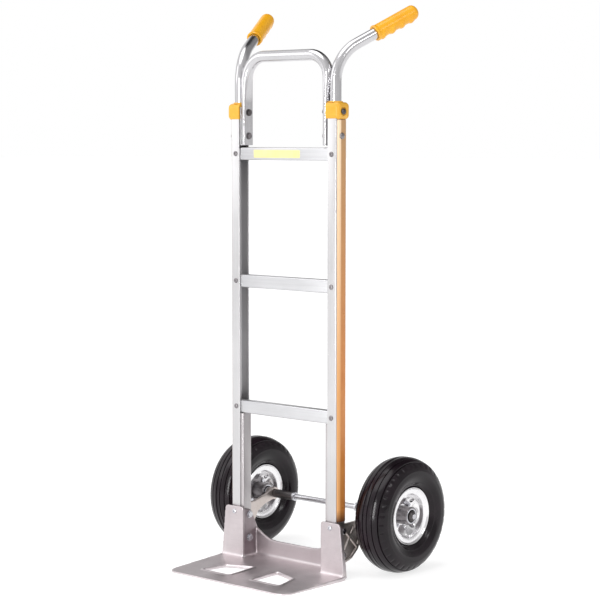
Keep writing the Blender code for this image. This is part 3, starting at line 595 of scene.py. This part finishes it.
def loop_handle():
    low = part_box("loop_handle")[0].z
    bend_z, bend_x = LOOP_TOP - LOOP_BEND_R, LOOP_X - LOOP_BEND_R
    half = [loop_station(Vector((LOOP_X, HANDLE_Y, z)), X, 0.0) for z in (low, low + 0.0005)]

    def roundness(run):
        """How round the tube is at a run past the start of its flattened leg's end."""
        t = min(1.0, max(0.0, run / 0.09))
        return t * t * (3.0 - 2.0 * t)

    start, steps = bend_z - 0.05, 28
    for i in range(14):
        z = start + (bend_z - start) * i / 14
        half.append(loop_station(Vector((LOOP_X, HANDLE_Y, z)), X, roundness(z - start)))
    for i in range(steps + 1):
        angle = pi / 2.0 * i / steps
        normal = X * cos(angle) + Z * sin(angle)
        half.append(loop_station(Vector((bend_x, HANDLE_Y, bend_z)) + normal * LOOP_BEND_R, normal,
                                 roundness(bend_z - start + angle * LOOP_BEND_R)))
    other = [(centre * Vector((-1, 1, 1)), normal * Vector((-1, 1, 1)), wide, hu, hv, power)
             for centre, normal, wide, hu, hv, power in reversed(half)]
    make("loop_bar", tube(half + other, 56, TUBE_WALL), ALU_TUBE, "loop_handle", 80.0)


def collar(side, s):
    near, far, front, back, low, high = extent(f"handle_collar_{side}")
    bm = prism(flip([(near, front), (far, front), (far, back), (near, back)], s), "Z", low, high)
    outer = [e for e in bm.edges if any(abs(v.co.x) > near + 0.0003 for v in e.verts)]
    bmesh.ops.bevel(bm, geom=outer, offset=0.01, segments=8, profile=0.5, affect="EDGES")
    _, rail_far, _, rail_back, _, rail_top = extent(f"rail_{side}")
    _, _, (_, bolt_y, bolt_z) = cross_axis(f"handle_bolt_upper_{side}")
    pocket = [(near - 0.002, -GAP), (rail_far + GAP, -GAP), (rail_far + GAP, rail_back + GAP),
              (near - 0.002, rail_back + GAP)]
    groove = [(far - 0.0016, bolt_y - 0.005), (far + 0.004, bolt_y - 0.005), (far + 0.004, bolt_y + 0.005),
              (far - 0.0016, bolt_y + 0.005)]
    groove = rounded(groove, [0.0015, 0, 0, 0.0015], 3)
    bore, mouth = TUBE_R + 0.0006, (s * HANDLE_X, HANDLE_Y, high)
    take = [prism(flip(pocket, s), "Z", low - 0.002, rail_top + GAP),
            rod([(-0.02, bore), (0.02, bore)], mouth, Z, 40),
            prism(flip(groove, s), "Z", low - 0.003, bolt_z + 0.0002),
            rod([(-0.0022, 0.0094), (0.006, 0.0094)], (s * far, bolt_y, bolt_z), X * s, 32)]
    neck = [(-0.0004, bore), (-0.0004, TUBE_R + 0.0034), (0.0012, TUBE_R + 0.003), (0.0022, TUBE_R + 0.0018),
            (0.0022, bore)]
    cap = absorb(carved(bm, take=take), lathe(neck, mouth, Z, 40))
    make(f"rail_cap_{side}", cap, COLLAR_YELLOW, f"handle_collar_{side}", 40.0)


def side_strip(side, s):
    near, far, front, back, low, high = extent(f"side_strip_{side}")
    middle = (near + far) / 2.0 + 0.0006
    points = [(near, front), (middle, front + 0.003), (far, front + 0.008), (far, back - 0.005),
              (middle, back - 0.0015), (near, back)]
    radii = [0.0003, 0.004, 0.006, 0.005, 0.0016, 0.0003]
    bm = prism(flip(rounded(points, radii, 6), s), "Z", low, high, 0.0012, 3)
    make(f"web_strip_{side}", bm, ORANGE, f"side_strip_{side}")


# ---------------------------------------------------------------- fasteners
BOLT_R, THROUGH_WASHER_R = 0.0036, 0.0078


def thread(origin, direction, low, high, radius):
    """A stub of thread as stepped ridges with a chamfered end."""
    pitch = 0.0011
    profile = []
    at = low
    while at < high - pitch:
        profile += [(at, radius * 0.9), (at + pitch * 0.5, radius)]
        at += pitch
    profile += [(at, radius * 0.9), (high, radius * 0.8)]
    return rod(profile, origin, direction, 20)


def through_bolt(name, node, s, dome, mat):
    """A carriage-style head outside, washer, nut and thread end inside."""
    near, far, origin = cross_axis(node)
    out = X * s
    profile = [(far - 0.0034, BOLT_R), (far - 0.0034, dome), (far - 0.003, dome),
               (far - 0.0018, dome * 0.93), (far - 0.0008, dome * 0.72), (far - 0.0001, dome * 0.38),
               (far, 0.0006)]
    head = rod(profile, origin, out, 32)
    seat = near + 0.0049
    profile = [(seat - 0.0012, THROUGH_WASHER_R - 0.0003), (seat - 0.001, THROUGH_WASHER_R),
               (seat - 0.0001, THROUGH_WASHER_R), (seat - 0.0001, 0.004), (seat - 0.0012, 0.004)]
    washer = lathe(profile, origin, out, 32)
    nut = hexagon(origin, out, seat - 0.0046, seat - 0.0012, 0.0056, 0.0006, 0.2)
    shank = rod([(seat - 0.0012, BOLT_R), (far - 0.003, BOLT_R)], origin, out, 20)
    bm = absorb(head, washer, nut, shank, thread(origin, out, near, seat - 0.004, 0.0033))
    make(name, bm, mat, node, 30.0)


def foot_bolt(level, side, s):
    """A hex bolt through the foot: head on the ear wall, nut behind the bracket."""
    node = f"foot_bolt_{level}_{side}"
    near, far, origin = cross_axis(node)
    out = X * s
    seat = near + 0.0045
    profile = [(seat - 0.0013, 0.0082), (seat - 0.001, 0.0086), (seat - 0.0002, 0.0086),
               (seat - 0.0002, 0.004), (seat - 0.0013, 0.004)]
    washer = lathe(profile, origin, out, 36)
    head = hexagon(origin, out, near, seat - 0.0013, 0.0064, 0.0008, 0.35)
    shank = rod([(seat - 0.002, BOLT_R), (far - 0.0005, BOLT_R)], origin, out, 20)
    nut = hexagon(origin, out, far - 0.0044, far - 0.0004, 0.0064, 0.0007, 0.1)
    make(f"hex_bolt_{level}_{side}", absorb(washer, head, shank, nut), ZINC, node, 30.0)


def nose_screw(side, s):
    near, far, front, back, low, high = extent(f"nose_screw_{side}")
    place = (s * (near + far) / 2.0, front, (low + high) / 2.0)
    bm = rod([(0.0, 0.001), (0.0001, 0.0024), (0.0006, 0.004), (0.0013, 0.0052), (0.0023, 0.0057),
                (0.0024, 0.0026), (back - front, 0.0026)], place, Y, 32)
    cross = [block((place[0] - a, front - 0.001, place[2] - b), (place[0] + a, front + 0.0012, place[2] + b))
             for a, b in ((0.0027, 0.0006), (0.0006, 0.0027))]
    make(f"pan_screw_{side}", carved(bm, take=cross), ZINC, f"nose_screw_{side}", 30.0)


# ---------------------------------------------------------------- nose plate
EAR_IN, EAR_WALL, EAR_FRONT, EAR_TOP, EAR_OUT_TOP = 0.1142, 0.005, -0.0056, 0.1223, 0.168
TOE_FRONT, TOE_BACK, TOE_LIP, TOE_ROOT = -0.1915, 0.044, 0.0034, 0.0085
TOE_HALF_FRONT, TOE_HALF_BACK, TOE_HALF_REAR, TOE_CORNER = 0.1715, 0.18, 0.14, 0.028
WINDOW = [(0.034, -0.138), (0.112, -0.138), (0.099, -0.08), (0.034, -0.057)]
WINDOW_RIM = [(0.0285, -0.1435), (0.1182, -0.1435), (0.1036, -0.0758), (0.0285, -0.0492)]
WALL_TOP = 0.071
SCOOP = [(0.1122, 0.069), (0.092, 0.057), (0.072, 0.048), (0.055, 0.046)]


def follow_plate(bm, lift=0.0):
    """Lays a solid's flat top on the plate's slope, some way above it."""
    for v in bm.verts:
        if v.co.z > 0.0015:
            share = min(1.0, max(0.0, (v.co.y - TOE_FRONT) / (EAR_FRONT - TOE_FRONT)))
            v.co.z = TOE_LIP + (TOE_ROOT - TOE_LIP) * share + lift
    bmesh.ops.triangulate(bm, faces=[f for f in bm.faces if len(f.verts) > 4])
    return bm


def concave(corner_a, corner_b, at, axis, low, high, radius, steps=6):
    """A fillet strip with a hollow face, filling the corner of two walls; a and b point away from it."""
    a, b = Vector(corner_a), Vector(corner_b)
    sink = -0.0012
    outline = [Vector(at) + a * sink + b * sink, Vector(at) + a * radius + b * sink, Vector(at) + a * radius]
    centre = Vector(at) + (a + b) * radius
    for k in range(1, steps):
        t = pi / 2.0 * k / steps
        outline.append(centre - b * radius * cos(t) - a * radius * sin(t))
    outline += [Vector(at) + b * radius, Vector(at) + b * radius + a * sink]
    return prism([tuple(p) for p in outline], axis, low, high)


def nose_plate():
    """The cast nose plate: wedge plate, window rims, ears, back wall and soft fillets."""
    half = [(TOE_HALF_FRONT, TOE_FRONT), (TOE_HALF_BACK, EAR_FRONT), (TOE_HALF_BACK, EAR_FRONT + EAR_WALL),
            (TOE_HALF_REAR, TOE_BACK)]
    radii = [TOE_CORNER, 0.002, 0.002, 0.002]
    outline = rounded(half + flip(half[::-1], -1), radii + radii[::-1], 10)
    base = follow_plate(prism(outline, "Z", 0.0, TOE_ROOT))
    ear_out = EAR_IN + EAR_WALL
    wall = [(ear_out, WALL_TOP)] + SCOOP
    wall = rounded([(-ear_out, 0.001), (ear_out, 0.001)] + wall + flip(wall[::-1], -1), 0.004, 3)
    add = [prism(wall, "Y", TOE_BACK - 0.006, TOE_BACK - 0.0003),
           concave((-1, 0), (0, 1), (TOE_BACK - 0.0058, TOE_ROOT - 0.0003), "X", -EAR_IN, EAR_IN, 0.0075)]
    take = []
    for _, s in SIDES:
        ear = rounded([(EAR_IN, 0.001), (TOE_HALF_BACK - 0.0002, 0.001), (EAR_OUT_TOP, EAR_TOP),
                       (EAR_IN, EAR_TOP)], [0, 0, 0.008, 0.006], 6)
        add.append(prism(flip(ear, s), "Y", EAR_FRONT, EAR_FRONT + EAR_WALL))
        lip = [(TOE_HALF_BACK - EAR_WALL, 0.004), (TOE_HALF_BACK - 0.0004, 0.004),
               (EAR_OUT_TOP - 0.0002, EAR_TOP - 0.008), (EAR_OUT_TOP - EAR_WALL, EAR_TOP - 0.008)]
        add.append(prism(flip(lip, s), "Y", EAR_FRONT + 0.001, EAR_FRONT + 0.0125))
        inner = [(EAR_FRONT + 0.001, 0.001), (TOE_BACK - 0.0006, 0.001), (TOE_BACK - 0.0006, WALL_TOP),
                 (0.022, 0.114), (EAR_FRONT + 0.001, 0.118)]
        inner = rounded(inner, [0, 0, 0.006, 0.01, 0], 5)
        add.append(prism(inner, "X", *span(s, EAR_IN, ear_out)))
        add.append(concave((-s, 0), (0, 1), (s * EAR_IN, TOE_ROOT - 0.0003), "Y", EAR_FRONT + 0.003,
                           TOE_BACK - 0.004, 0.006))
        add.append(concave((-1, 0), (0, 1), (EAR_FRONT, TOE_ROOT - 0.0006), "X",
                           *span(s, EAR_IN, TOE_HALF_BACK - 0.002), 0.007))
        add.append(follow_plate(prism(flip(rounded(WINDOW_RIM, 0.009, 6), s), "Z", 0.001, TOE_ROOT), 0.0011))
        take.append(prism(flip(rounded(WINDOW, 0.005, 5), s), "Z", -0.02, 0.03))
    casting = carved(base, add, take, voxel=0.0014, smooth=5)
    for v in casting.verts:
        v.co.z = max(0.0, v.co.z)
    make("nose_casting", casting, ALU_CAST, "nose_plate", 60.0)


# ---------------------------------------------------------------- axle and brackets
AXLE_Y, AXLE_Z = 0.1467, 0.127
AXLE_LINE = (0.0, AXLE_Y, AXLE_Z)
BRACKET = [(0.0012, 0.03), (0.02, 0.03), (0.047, 0.038), (0.069, 0.056), (0.077, 0.076),
           (0.088, 0.094), (0.112, 0.107), (0.14, 0.114), (0.1467, 0.127), (0.142, 0.14),
           (0.115, 0.129), (0.08, 0.12), (0.058, 0.118), (0.0012, 0.118)]
BRACKET_CORNERS = [0.004, 0.02, 0.014, 0.014, 0.012, 0.012, 0.012, 0.008, 0.01, 0.008, 0.012, 0.012, 0.006,
                   0.004]
BRACKET_OUT, POCKET_FLOOR = 0.16, 0.1562
RIBS = (((0.012, 0.04), (0.056, 0.108)), ((0.02, 0.108), (0.066, 0.062)), ((0.04, 0.09), (0.142, 0.127)))
AXLE_R, BORE_R = 0.00635, 0.00668


def inset(outline, distance):
    """A counterclockwise outline moved inwards, corner by corner."""
    out = []
    for i, point in enumerate(outline):
        p, after = Vector(point), Vector(outline[(i + 1) % len(outline)])
        a, b = (p - Vector(outline[i - 1])).normalized(), (after - p).normalized()
        na, nb = Vector((-a.y, a.x)), Vector((-b.y, b.x))
        m = (na + nb).normalized()
        out.append(tuple(p + m * (distance / max(0.35, m.dot(na)))))
    return out


def bracket(side, s):
    """A cast arm from the rail's foot to the axle: pocketed plate, ribs and bosses."""
    near, far, *_ = extent(f"axle_bracket_{side}")
    skin = prism(rounded(BRACKET, BRACKET_CORNERS, 5), "X", *span(s, near, BRACKET_OUT))
    pocket = rounded(inset(BRACKET, 0.0062), 0.005, 4)
    pocket = prism(pocket, "X", *span(s, POCKET_FLOOR, BRACKET_OUT + 0.004))
    add = []
    for start, end in RIBS:
        start, end = Vector(start), Vector(end)
        line = (end - start).normalized()
        half = Vector((-line.y, line.x)) * 0.0022
        rib = [tuple(corner) for corner in (start + half, start - half, end - half, end + half)]
        add.append(prism(rib, "X", *span(s, near + 0.001, BRACKET_OUT - 0.001)))
    boss = [(near + 0.0001, 0.0145), (BRACKET_OUT, 0.0145), (BRACKET_OUT + 0.005, 0.013),
            (far - 0.0008, 0.013), (far, 0.0122)]
    add.append(rod(boss, AXLE_LINE, X * s, 40))
    for level in ("high", "low"):
        _, _, place = cross_axis(f"foot_bolt_{level}_{side}")
        add.append(rod([(near + 0.001, 0.01), (BRACKET_OUT - 0.0004, 0.0098)], place, X * s, 32))
    bore = rod([(0.14, 0.00665), (0.18, 0.00665)], AXLE_LINE, X * s, 32)
    casting = carved(carved(skin, take=[pocket]), add, [bore], voxel=0.001, smooth=4)
    make(f"axle_arm_{side}", casting, ALU_BRACKET, f"axle_bracket_{side}", 60.0)


def axle():
    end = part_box("axle")[1].x
    neck = AXLE_R - 0.0006
    half = [(end, AXLE_R - 0.0012), (end - 0.001, AXLE_R), (end - 0.0062, AXLE_R), (end - 0.0064, neck),
            (end - 0.0076, neck), (end - 0.0078, AXLE_R)]
    profile = flip(half, -1) + half[::-1]
    make("axle_rod", rod(profile, AXLE_LINE, X, 36), ROD_STEEL, "axle")


def axle_fittings(side, s):
    near, far, *_ = extent(f"axle_sleeve_{side}")
    bore, r = BORE_R, 0.0098
    profile = [(near + 0.007, bore), (near + 0.007, r - 0.0005), (near + 0.0075, r), (far - 0.0004, r),
               (far, r - 0.0004), (far, bore)]
    make(f"axle_spacer_{side}", lathe(profile, AXLE_LINE, X * s, 40), DARK_STEEL, f"axle_sleeve_{side}")
    ring = [(near, bore), (near, r - 0.0012), (near + 0.001, r + 0.0002), (near + 0.0058, r + 0.0002),
            (near + 0.0067, r - 0.0006), (near + 0.0067, bore)]
    make(f"spacer_collar_{side}", lathe(ring, AXLE_LINE, X * s, 40), ZINC)
    near, far, *_ = extent(f"inner_washer_{side}")
    profile = [(near, bore), (near, 0.0121), (near + 0.0004, 0.0125), (far - 0.0004, 0.0125), (far, 0.0121),
               (far, bore)]
    make(f"thrust_washer_{side}", lathe(profile, AXLE_LINE, X * s, 40), ZINC, f"inner_washer_{side}")
    near, far, *_ = extent(f"axle_cap_{side}")
    profile = [(near, bore), (near, 0.0112), (near + 0.0004, 0.0115), (near + 0.0016, 0.0115),
               (near + 0.002, 0.0104), (far - 0.0018, 0.0098), (far - 0.0006, 0.0088), (far, 0.0076),
               (far, bore)]
    make(f"push_nut_{side}", lathe(profile, AXLE_LINE, X * s, 40), DARK_STEEL, f"axle_cap_{side}")


# ---------------------------------------------------------------- wheels
OUTSIDE = [(0.0243, 0.062), (0.0335, 0.0695), (0.0412, 0.0835), (0.0428, 0.0945), (0.0392, 0.109),
           (0.0285, 0.1205), (0.011, 0.1268), (0.0, 0.127)]
GROOVES = ((0.004, 0.0066, 0.002), (0.0165, 0.0193, 0.0022), (0.0288, 0.0322, 0.0034))   # from, to, depth
RIDGES = ((0.0735, 0.0013, 0.0008), (0.1015, 0.0009, 0.0006), (0.0995, 0.0006, 0.0004))  # at, width, height
SHOULDER_R, NOTCH_R, NOTCH_X, SEGMENTS = 0.1165, 0.106, 0.0325, 216
RIM_BOLTS_R, RIM_HOLES_R, STEM_X = 0.0282, 0.0395, 0.0075


def spline(points, steps):
    """A smooth line through (x, r) points."""
    out = []
    extended = [points[0]] + list(points) + [points[-1]]
    for i in range(1, len(extended) - 2):
        p0, p1, p2, p3 = (Vector(p) for p in extended[i - 1:i + 3])
        for k in range(steps):
            t = k / steps
            out.append(tuple(0.5 * ((2 * p1) + (p2 - p0) * t + (2 * p0 - 5 * p1 + 4 * p2 - p3) * t * t
                                    + (3 * p1 - p0 - 3 * p2 + p3) * t ** 3)))
    out.append(tuple(points[-1]))
    return out


def bead(r, at, width, height):
    """How far a moulded ridge round the side wall stands out at a radius."""
    return height * math.exp(-((r - at) / width) ** 2)


def tyre_skin():
    """Half of the tyre's outside as (x, r), from bead to crown."""
    stations = set()
    for a, b, _ in GROOVES:
        stations |= {a - 0.0004, a, a + 0.0005, b - 0.0005, b, b + 0.0004}
    side = spline(OUTSIDE, 9)
    wall = [p for p in side if p[1] <= SHOULDER_R]
    crown = [p for p in side if p[1] > SHOULDER_R]

    def height(x):
        """The crown's radius at x, before its grooves."""
        pts = sorted(crown + [wall[-1]])
        for (x0, r0), (x1, r1) in zip(pts, pts[1:]):
            if x0 <= x <= x1:
                return r0 + (r1 - r0) * (x - x0) / max(1e-9, x1 - x0)
        return pts[-1][1]

    rows = [(x + sum(bead(r, *ridge) for ridge in RIDGES), r) for x, r in wall]
    plain = {x for x, _ in crown if all(abs(x - station) > 0.0008 for station in stations)}
    for x in sorted(plain | stations, reverse=True):
        rows.append((x, height(x) - sum(d for a, b, d in GROOVES if a + 0.0002 < x < b - 0.0002)))
    return rows


def tyre(side, middle):
    inside = [(0.0165, 0.068), (0.031, 0.079), (0.037, 0.093), (0.0325, 0.108), (0.011, 0.12)]
    rows = [(0.015, 0.0514), (0.0238, 0.0514), (0.0242, 0.056)] + tyre_skin()
    rows += flip([row for row in rows[::-1] if row[0] > 1e-6], -1) + flip(inside, -1) + inside[::-1]
    bm = bmesh.new()
    rings = []
    for i, angle in enumerate(angles(SEGMENTS)):
        ring = []
        for x, r in rows:
            notch = 0.0
            if r > NOTCH_R and abs(x) > NOTCH_X and i % 6 == (0 if x > 0 else 3):
                notch = 0.0012 * min(1.0, (r - NOTCH_R) / 0.004)
            r -= notch
            ring.append(bm.verts.new((middle[0] + x * (1.0 - 12.5 * notch), middle[1] + r * cos(angle),
                                      middle[2] + r * sin(angle))))
        rings.append(ring)
    stitch(bm, rings + rings[:1])
    make(f"pneumatic_tyre_{side}", bm, TYRE, f"tyre_{side}", 28.0, body=f"wheel_{side}")


def bolt_circle(middle, radius):
    """The angle and place of each of four holes or bolts round the wheel's axis."""
    for quarter in range(4):
        angle = pi / 4.0 + pi / 2.0 * quarter
        yield angle, (middle[0], middle[1] + radius * cos(angle), middle[2] + radius * sin(angle))


def rim_half(side, middle, place, half_s):
    """One pressed half of the rim: rolled flange, bead seat, dish and a disc with pressed facets."""
    front = [(0.0279, 0.0632), (0.0288, 0.0635), (0.0299, 0.0633), (0.0304, 0.0626), (0.03, 0.0617),
             (0.0284, 0.0604), (0.0274, 0.059), (0.0268, 0.056), (0.0265, 0.051), (0.0258, 0.0492),
             (0.024, 0.0482), (0.02, 0.0474)]
    disc = [(0.0165, 0.0462), (0.014, 0.0446), (0.0118, 0.0428), (0.0099, 0.0408), (0.0082, 0.0387),
            (0.0068, 0.0366), (0.0056, 0.0345), (0.0046, 0.0324), (0.0038, 0.0303), (0.0032, 0.028),
            (0.0028, 0.0252), (0.0026, 0.0225), (0.0026, 0.0204)]
    back = [(0.0004, 0.0204), (0.0004, 0.038), (0.0035, 0.044), (0.012, 0.05), (0.0248, 0.0503),
            (0.0251, 0.06), (0.027, 0.0626)]
    bm = bmesh.new()
    rings = []
    for angle in angles(192):
        ring = list(front)
        for x, r in disc:
            local = abs((angle + pi / 4.0) % (pi / 2.0) - pi / 4.0)
            fade = min(1.0, max(0.0, (r - 0.023) / 0.008)) * min(1.0, max(0.0, (0.047 - r) / 0.007))
            spread = 0.26 + 0.38 * (r - 0.023) / 0.0225
            ring.append((x + 0.008 * max(0.0, 1.0 - local / spread) ** 0.9 * fade, r))
        c, n = cos(angle), sin(angle)
        rings.append([bm.verts.new((middle[0] + half_s * x, middle[1] + r * c, middle[2] + r * n))
                      for x, r in ring + back])
    stitch(bm, rings + rings[:1])
    holes = [rod([(-0.002, 0.0046), (0.024, 0.0046)], at, X * half_s, 24)
             for _, at in bolt_circle(middle, RIM_HOLES_R)]
    if place == "outer":
        at = (middle[0] + half_s * STEM_X, middle[1], middle[2] + 0.034)
        holes.append(rod([(0.0, 0.005), (0.03, 0.005)], at, Z, 24))
    make(f"rim_half_{place}_{side}", carved(bm, take=holes), CHROME, f"rim_{place}_{side}",
         24.0, body=f"wheel_{side}")


def wheel_bolts(side, s, middle):
    """Four bolts that clamp the rim halves, nuts outside and heads on the hub's flange."""
    bm = bmesh.new()
    washer = [(0.0026, 0.0056), (0.0044, 0.0056), (0.0046, 0.0053), (0.0046, 0.003), (0.0026, 0.003)]
    for angle, at in bolt_circle(middle, RIM_BOLTS_R):
        nut = hexagon(at, X * s, 0.0046, 0.0086, 0.0044, 0.0006, angle)
        stub = thread(at, X * s, 0.008, 0.0112, 0.0026)
        head = hexagon(at, -X * s, 0.0058, 0.009, 0.0044, 0.0006, angle + 0.3)
        absorb(bm, lathe(washer, at, X * s, 28), nut, stub, head)
    make(f"rim_bolts_{side}", bm, ZINC, angle=30.0, body=f"wheel_{side}")


def hub(side, s, middle):
    near, far, *_ = extent(f"hub_{side}")
    a, b = near - abs(middle[0]), far - abs(middle[0])
    bore, r = 0.0173, 0.02
    profile = [(a + 0.0002, bore), (a, bore + 0.0006), (a, r - 0.0008), (a + 0.0008, r), (-0.0064, r),
               (-0.0059, r + 0.0005), (-0.0059, 0.0326), (-0.0055, 0.033), (-0.0033, 0.033),
               (-0.0029, 0.0326), (-0.0029, r), (0.014, r), (0.0144, r - 0.0004), (0.0158, r - 0.0004),
               (0.0162, r), (b - 0.001, r), (b, r - 0.001), (b, bore + 0.0006), (b - 0.0002, bore)]
    make(f"hub_barrel_{side}", lathe(profile, middle, X * s, 64), RIVET_STEEL, f"hub_{side}",
         30.0, body=f"wheel_{side}")
    race = [(0.0002, 0.0143), (0.0, 0.0146), (0.0, 0.0167), (0.0003, 0.017), (0.01, 0.017), (0.01, 0.0143)]
    inner = [(0.0001, BORE_R), (0.0, 0.007), (0.0, 0.0093), (0.0003, 0.0096), (0.01, 0.0096), (0.01, BORE_R)]
    seal = [(0.0009, 0.0095), (0.0007, 0.01), (0.0007, 0.0139), (0.0009, 0.0144), (0.005, 0.0144),
            (0.005, 0.0095)]
    for place, face, inward in (("inner", a, 1.0), ("outer", b, -1.0)):
        turned = [lathe([(face + inward * x, radius) for x, radius in ring], middle, X * s, 56)
                  for ring in (race, inner, seal)]
        make(f"bearing_races_{place}_{side}", absorb(*turned[:2]), ZINC,
             f"bearing_{place}_{side}", 30.0, body=f"wheel_{side}")
        make(f"bearing_seal_{place}_{side}", turned[2], SOFT_RUBBER,
             angle=30.0, body=f"wheel_{side}")


def valve(side, s, middle):
    """The air tube inside the tyre, and the valve stem that shows in the rim."""
    torus = [(0.028 * cos(angle), 0.0945 + 0.0185 * sin(angle)) for angle in angles(28)]
    foot = (middle[0] + s * STEM_X, middle[1], middle[2])
    stem = [(-0.079, 0.0044), (-0.048, 0.0044), (-0.0468, 0.0043), (-0.044, 0.0036), (-0.0425, 0.0033)]
    stem = rod(stem, foot, -Z, 28)
    make(f"air_tube_{side}", absorb(lathe(torus, middle, X, 72), stem), SOFT_RUBBER,
         f"inner_tube_{side}", 40.0, body=f"wheel_{side}")
    cap = [(-0.043, 0.003), (-0.0428, 0.0038), (-0.0355, 0.0038), (-0.0343, 0.0034), (-0.0335, 0.0024),
           (-0.0333, 0.0008)]
    cap = rod(cap, foot, -Z, 24)
    knurls = [f for f in cap.faces if abs(f.normal.z) < 0.3]
    bmesh.ops.inset_individual(cap, faces=knurls, thickness=0.0002, depth=-0.0001)
    make(f"valve_cap_{side}", cap, ZINC, angle=30.0, body=f"wheel_{side}")


def wheel(side, s):
    lo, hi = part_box(f"tyre_{side}")
    middle = ((lo.x + hi.x) / 2.0, AXLE_Y, AXLE_Z)
    tyre(side, middle)
    rim_half(side, middle, "outer", s)
    rim_half(side, middle, "inner", -s)
    wheel_bolts(side, s, middle)
    hub(side, s, middle)
    valve(side, s, middle)


# ---------------------------------------------------------------- stage, light, camera
def stage():
    """A floor that glows like a light table, so that the background stays white."""
    bm = bmesh.new()
    bmesh.ops.create_grid(bm, x_segments=8, y_segments=8, size=60.0)
    bmesh.ops.translate(bm, verts=bm.verts, vec=(0.0, 0.0, -0.0002))
    floor = linked("studio_floor", to_mesh("studio_floor", bm))

    def build(n, coords):
        cloud = n.ramp(n.noise(coords, 1.2, 3.0), 0.3, 0.7)
        return {"Base Color": n.mix(cloud, rgb(170, 170, 170), rgb(172, 172, 172)),
                "Normal": n.bump(n.noise(coords, 300.0), 0.00005)}
    floor.data.materials.append(surface("studio_floor_paint", build, **{
        "Roughness": 0.9, "Emission Color": (1.0, 1.0, 1.0, 1.0), "Emission Strength": 0.74}))


def world():
    """Studio surroundings: brightest to the front left, with a dark panel high behind; a white backdrop."""
    w = bpy.data.worlds.new("studio")
    bpy.context.scene.world = w
    w.use_nodes = True
    n = Nodes(w.node_tree)
    x, y, z = n.split(n.add("ShaderNodeTexCoord").outputs["Generated"])
    flat = n.maths("MAXIMUM", n.maths("SQRT", n.less(1.0, n.times(z, z))), 0.001)
    to_front_left = n.maths("DIVIDE", n.plus(n.times(x, -0.8), n.times(y, -0.6)), flat)
    side = n.ramp(to_front_left, -1.0, 1.0, 0.62, 1.0)
    behind = n.plus(n.times(y, 0.72), n.times(z, 0.69))
    darkness = n.times(n.ramp(behind, 0.68, 0.84, 0.0, 0.93), n.ramp(z, 0.04, 0.2))
    darkness = n.times(darkness, n.ramp(x, -0.1, 0.2, 1.0, 0.45))
    tone = n.mix(n.times(side, n.less(1.0, darkness)), (0.0, 0.0, 0.0, 1.0), (0.98, 0.975, 0.98, 1.0))
    seen = n.add("ShaderNodeLightPath").outputs["Is Camera Ray"]
    colour = n.mix(seen, tone, (1.0, 1.0, 1.0, 1.0))
    shader = n.add("ShaderNodeBackground", {"Color": colour, "Strength": 1.0})
    n.add("ShaderNodeOutputWorld", {"Surface": shader.outputs[0]})


def softbox(name, place, target, size, power):
    data = bpy.data.lights.new(name, "AREA")
    data.shape, data.size, data.size_y = "RECTANGLE", size[0], size[1]
    data.energy = power
    obj = linked(name, data)
    obj.location = place
    obj.rotation_euler = (Vector(target) - Vector(place)).to_track_quat("-Z", "Y").to_euler()
    obj.visible_camera = False


def sunlight(name, source, strength, spread):
    """An even soft light from far away, so that the whole floor is lit alike."""
    data = bpy.data.lights.new(name, "SUN")
    data.energy, data.angle = strength, math.radians(spread)
    linked(name, data).rotation_euler = Vector(source).to_track_quat("Z", "Y").to_euler()


def camera():
    data = bpy.data.cameras.new("camera")
    data.sensor_width, data.lens = 36.0, 109.76
    obj = linked("camera", data)
    obj.location = (2.64, -2.99, 0.953)
    obj.rotation_euler = (math.radians(90.0 - 5.104), 0.0, math.radians(40.892))
    bpy.context.scene.camera = obj


def main():
    for side, s in SIDES:
        rail(side, s)
        stiffener(side, s)
        handle_tube(side, s)
        grip(side, s)
        collar(side, s)
        side_strip(side, s)
        for bar in ("top", "middle", "lower"):
            rivet(bar, side, s)
        through_bolt(f"cap_bolt_{side}", f"handle_bolt_upper_{side}", s, 0.0068, DARK_STEEL)
        through_bolt(f"leg_bolt_{side}", f"handle_bolt_lower_{side}", s, 0.0072, RIVET_STEEL)
        for level in ("high", "low"):
            foot_bolt(level, side, s)
        nose_screw(side, s)
        bracket(side, s)
        axle_fittings(side, s)
        wheel(side, s)
    for bar in ("top", "middle", "lower"):
        crossbar(bar)
    plain_label()
    loop_handle()
    nose_plate()
    axle()
    stage()
    world()
    sunlight("overhead", (-0.6, -0.9, 3.0), 0.95, 50.0)
    softbox("key", (-2.6, -2.2, 2.2), (0.0, 0.0, 0.6), (1.6, 2.0), 12.0)
    softbox("grip_light", (2.9, -0.4, 2.4), (0.1, 0.1, 1.1), (1.1, 0.4), 9.0)
    softbox("strip_light", (0.35, -3.4, 1.0), (0.2, 0.1, 0.3), (0.18, 2.0), 36.0)
    camera()
    view = bpy.context.scene.view_settings
    view.view_transform = "Standard"
    view.look = "None"


main()
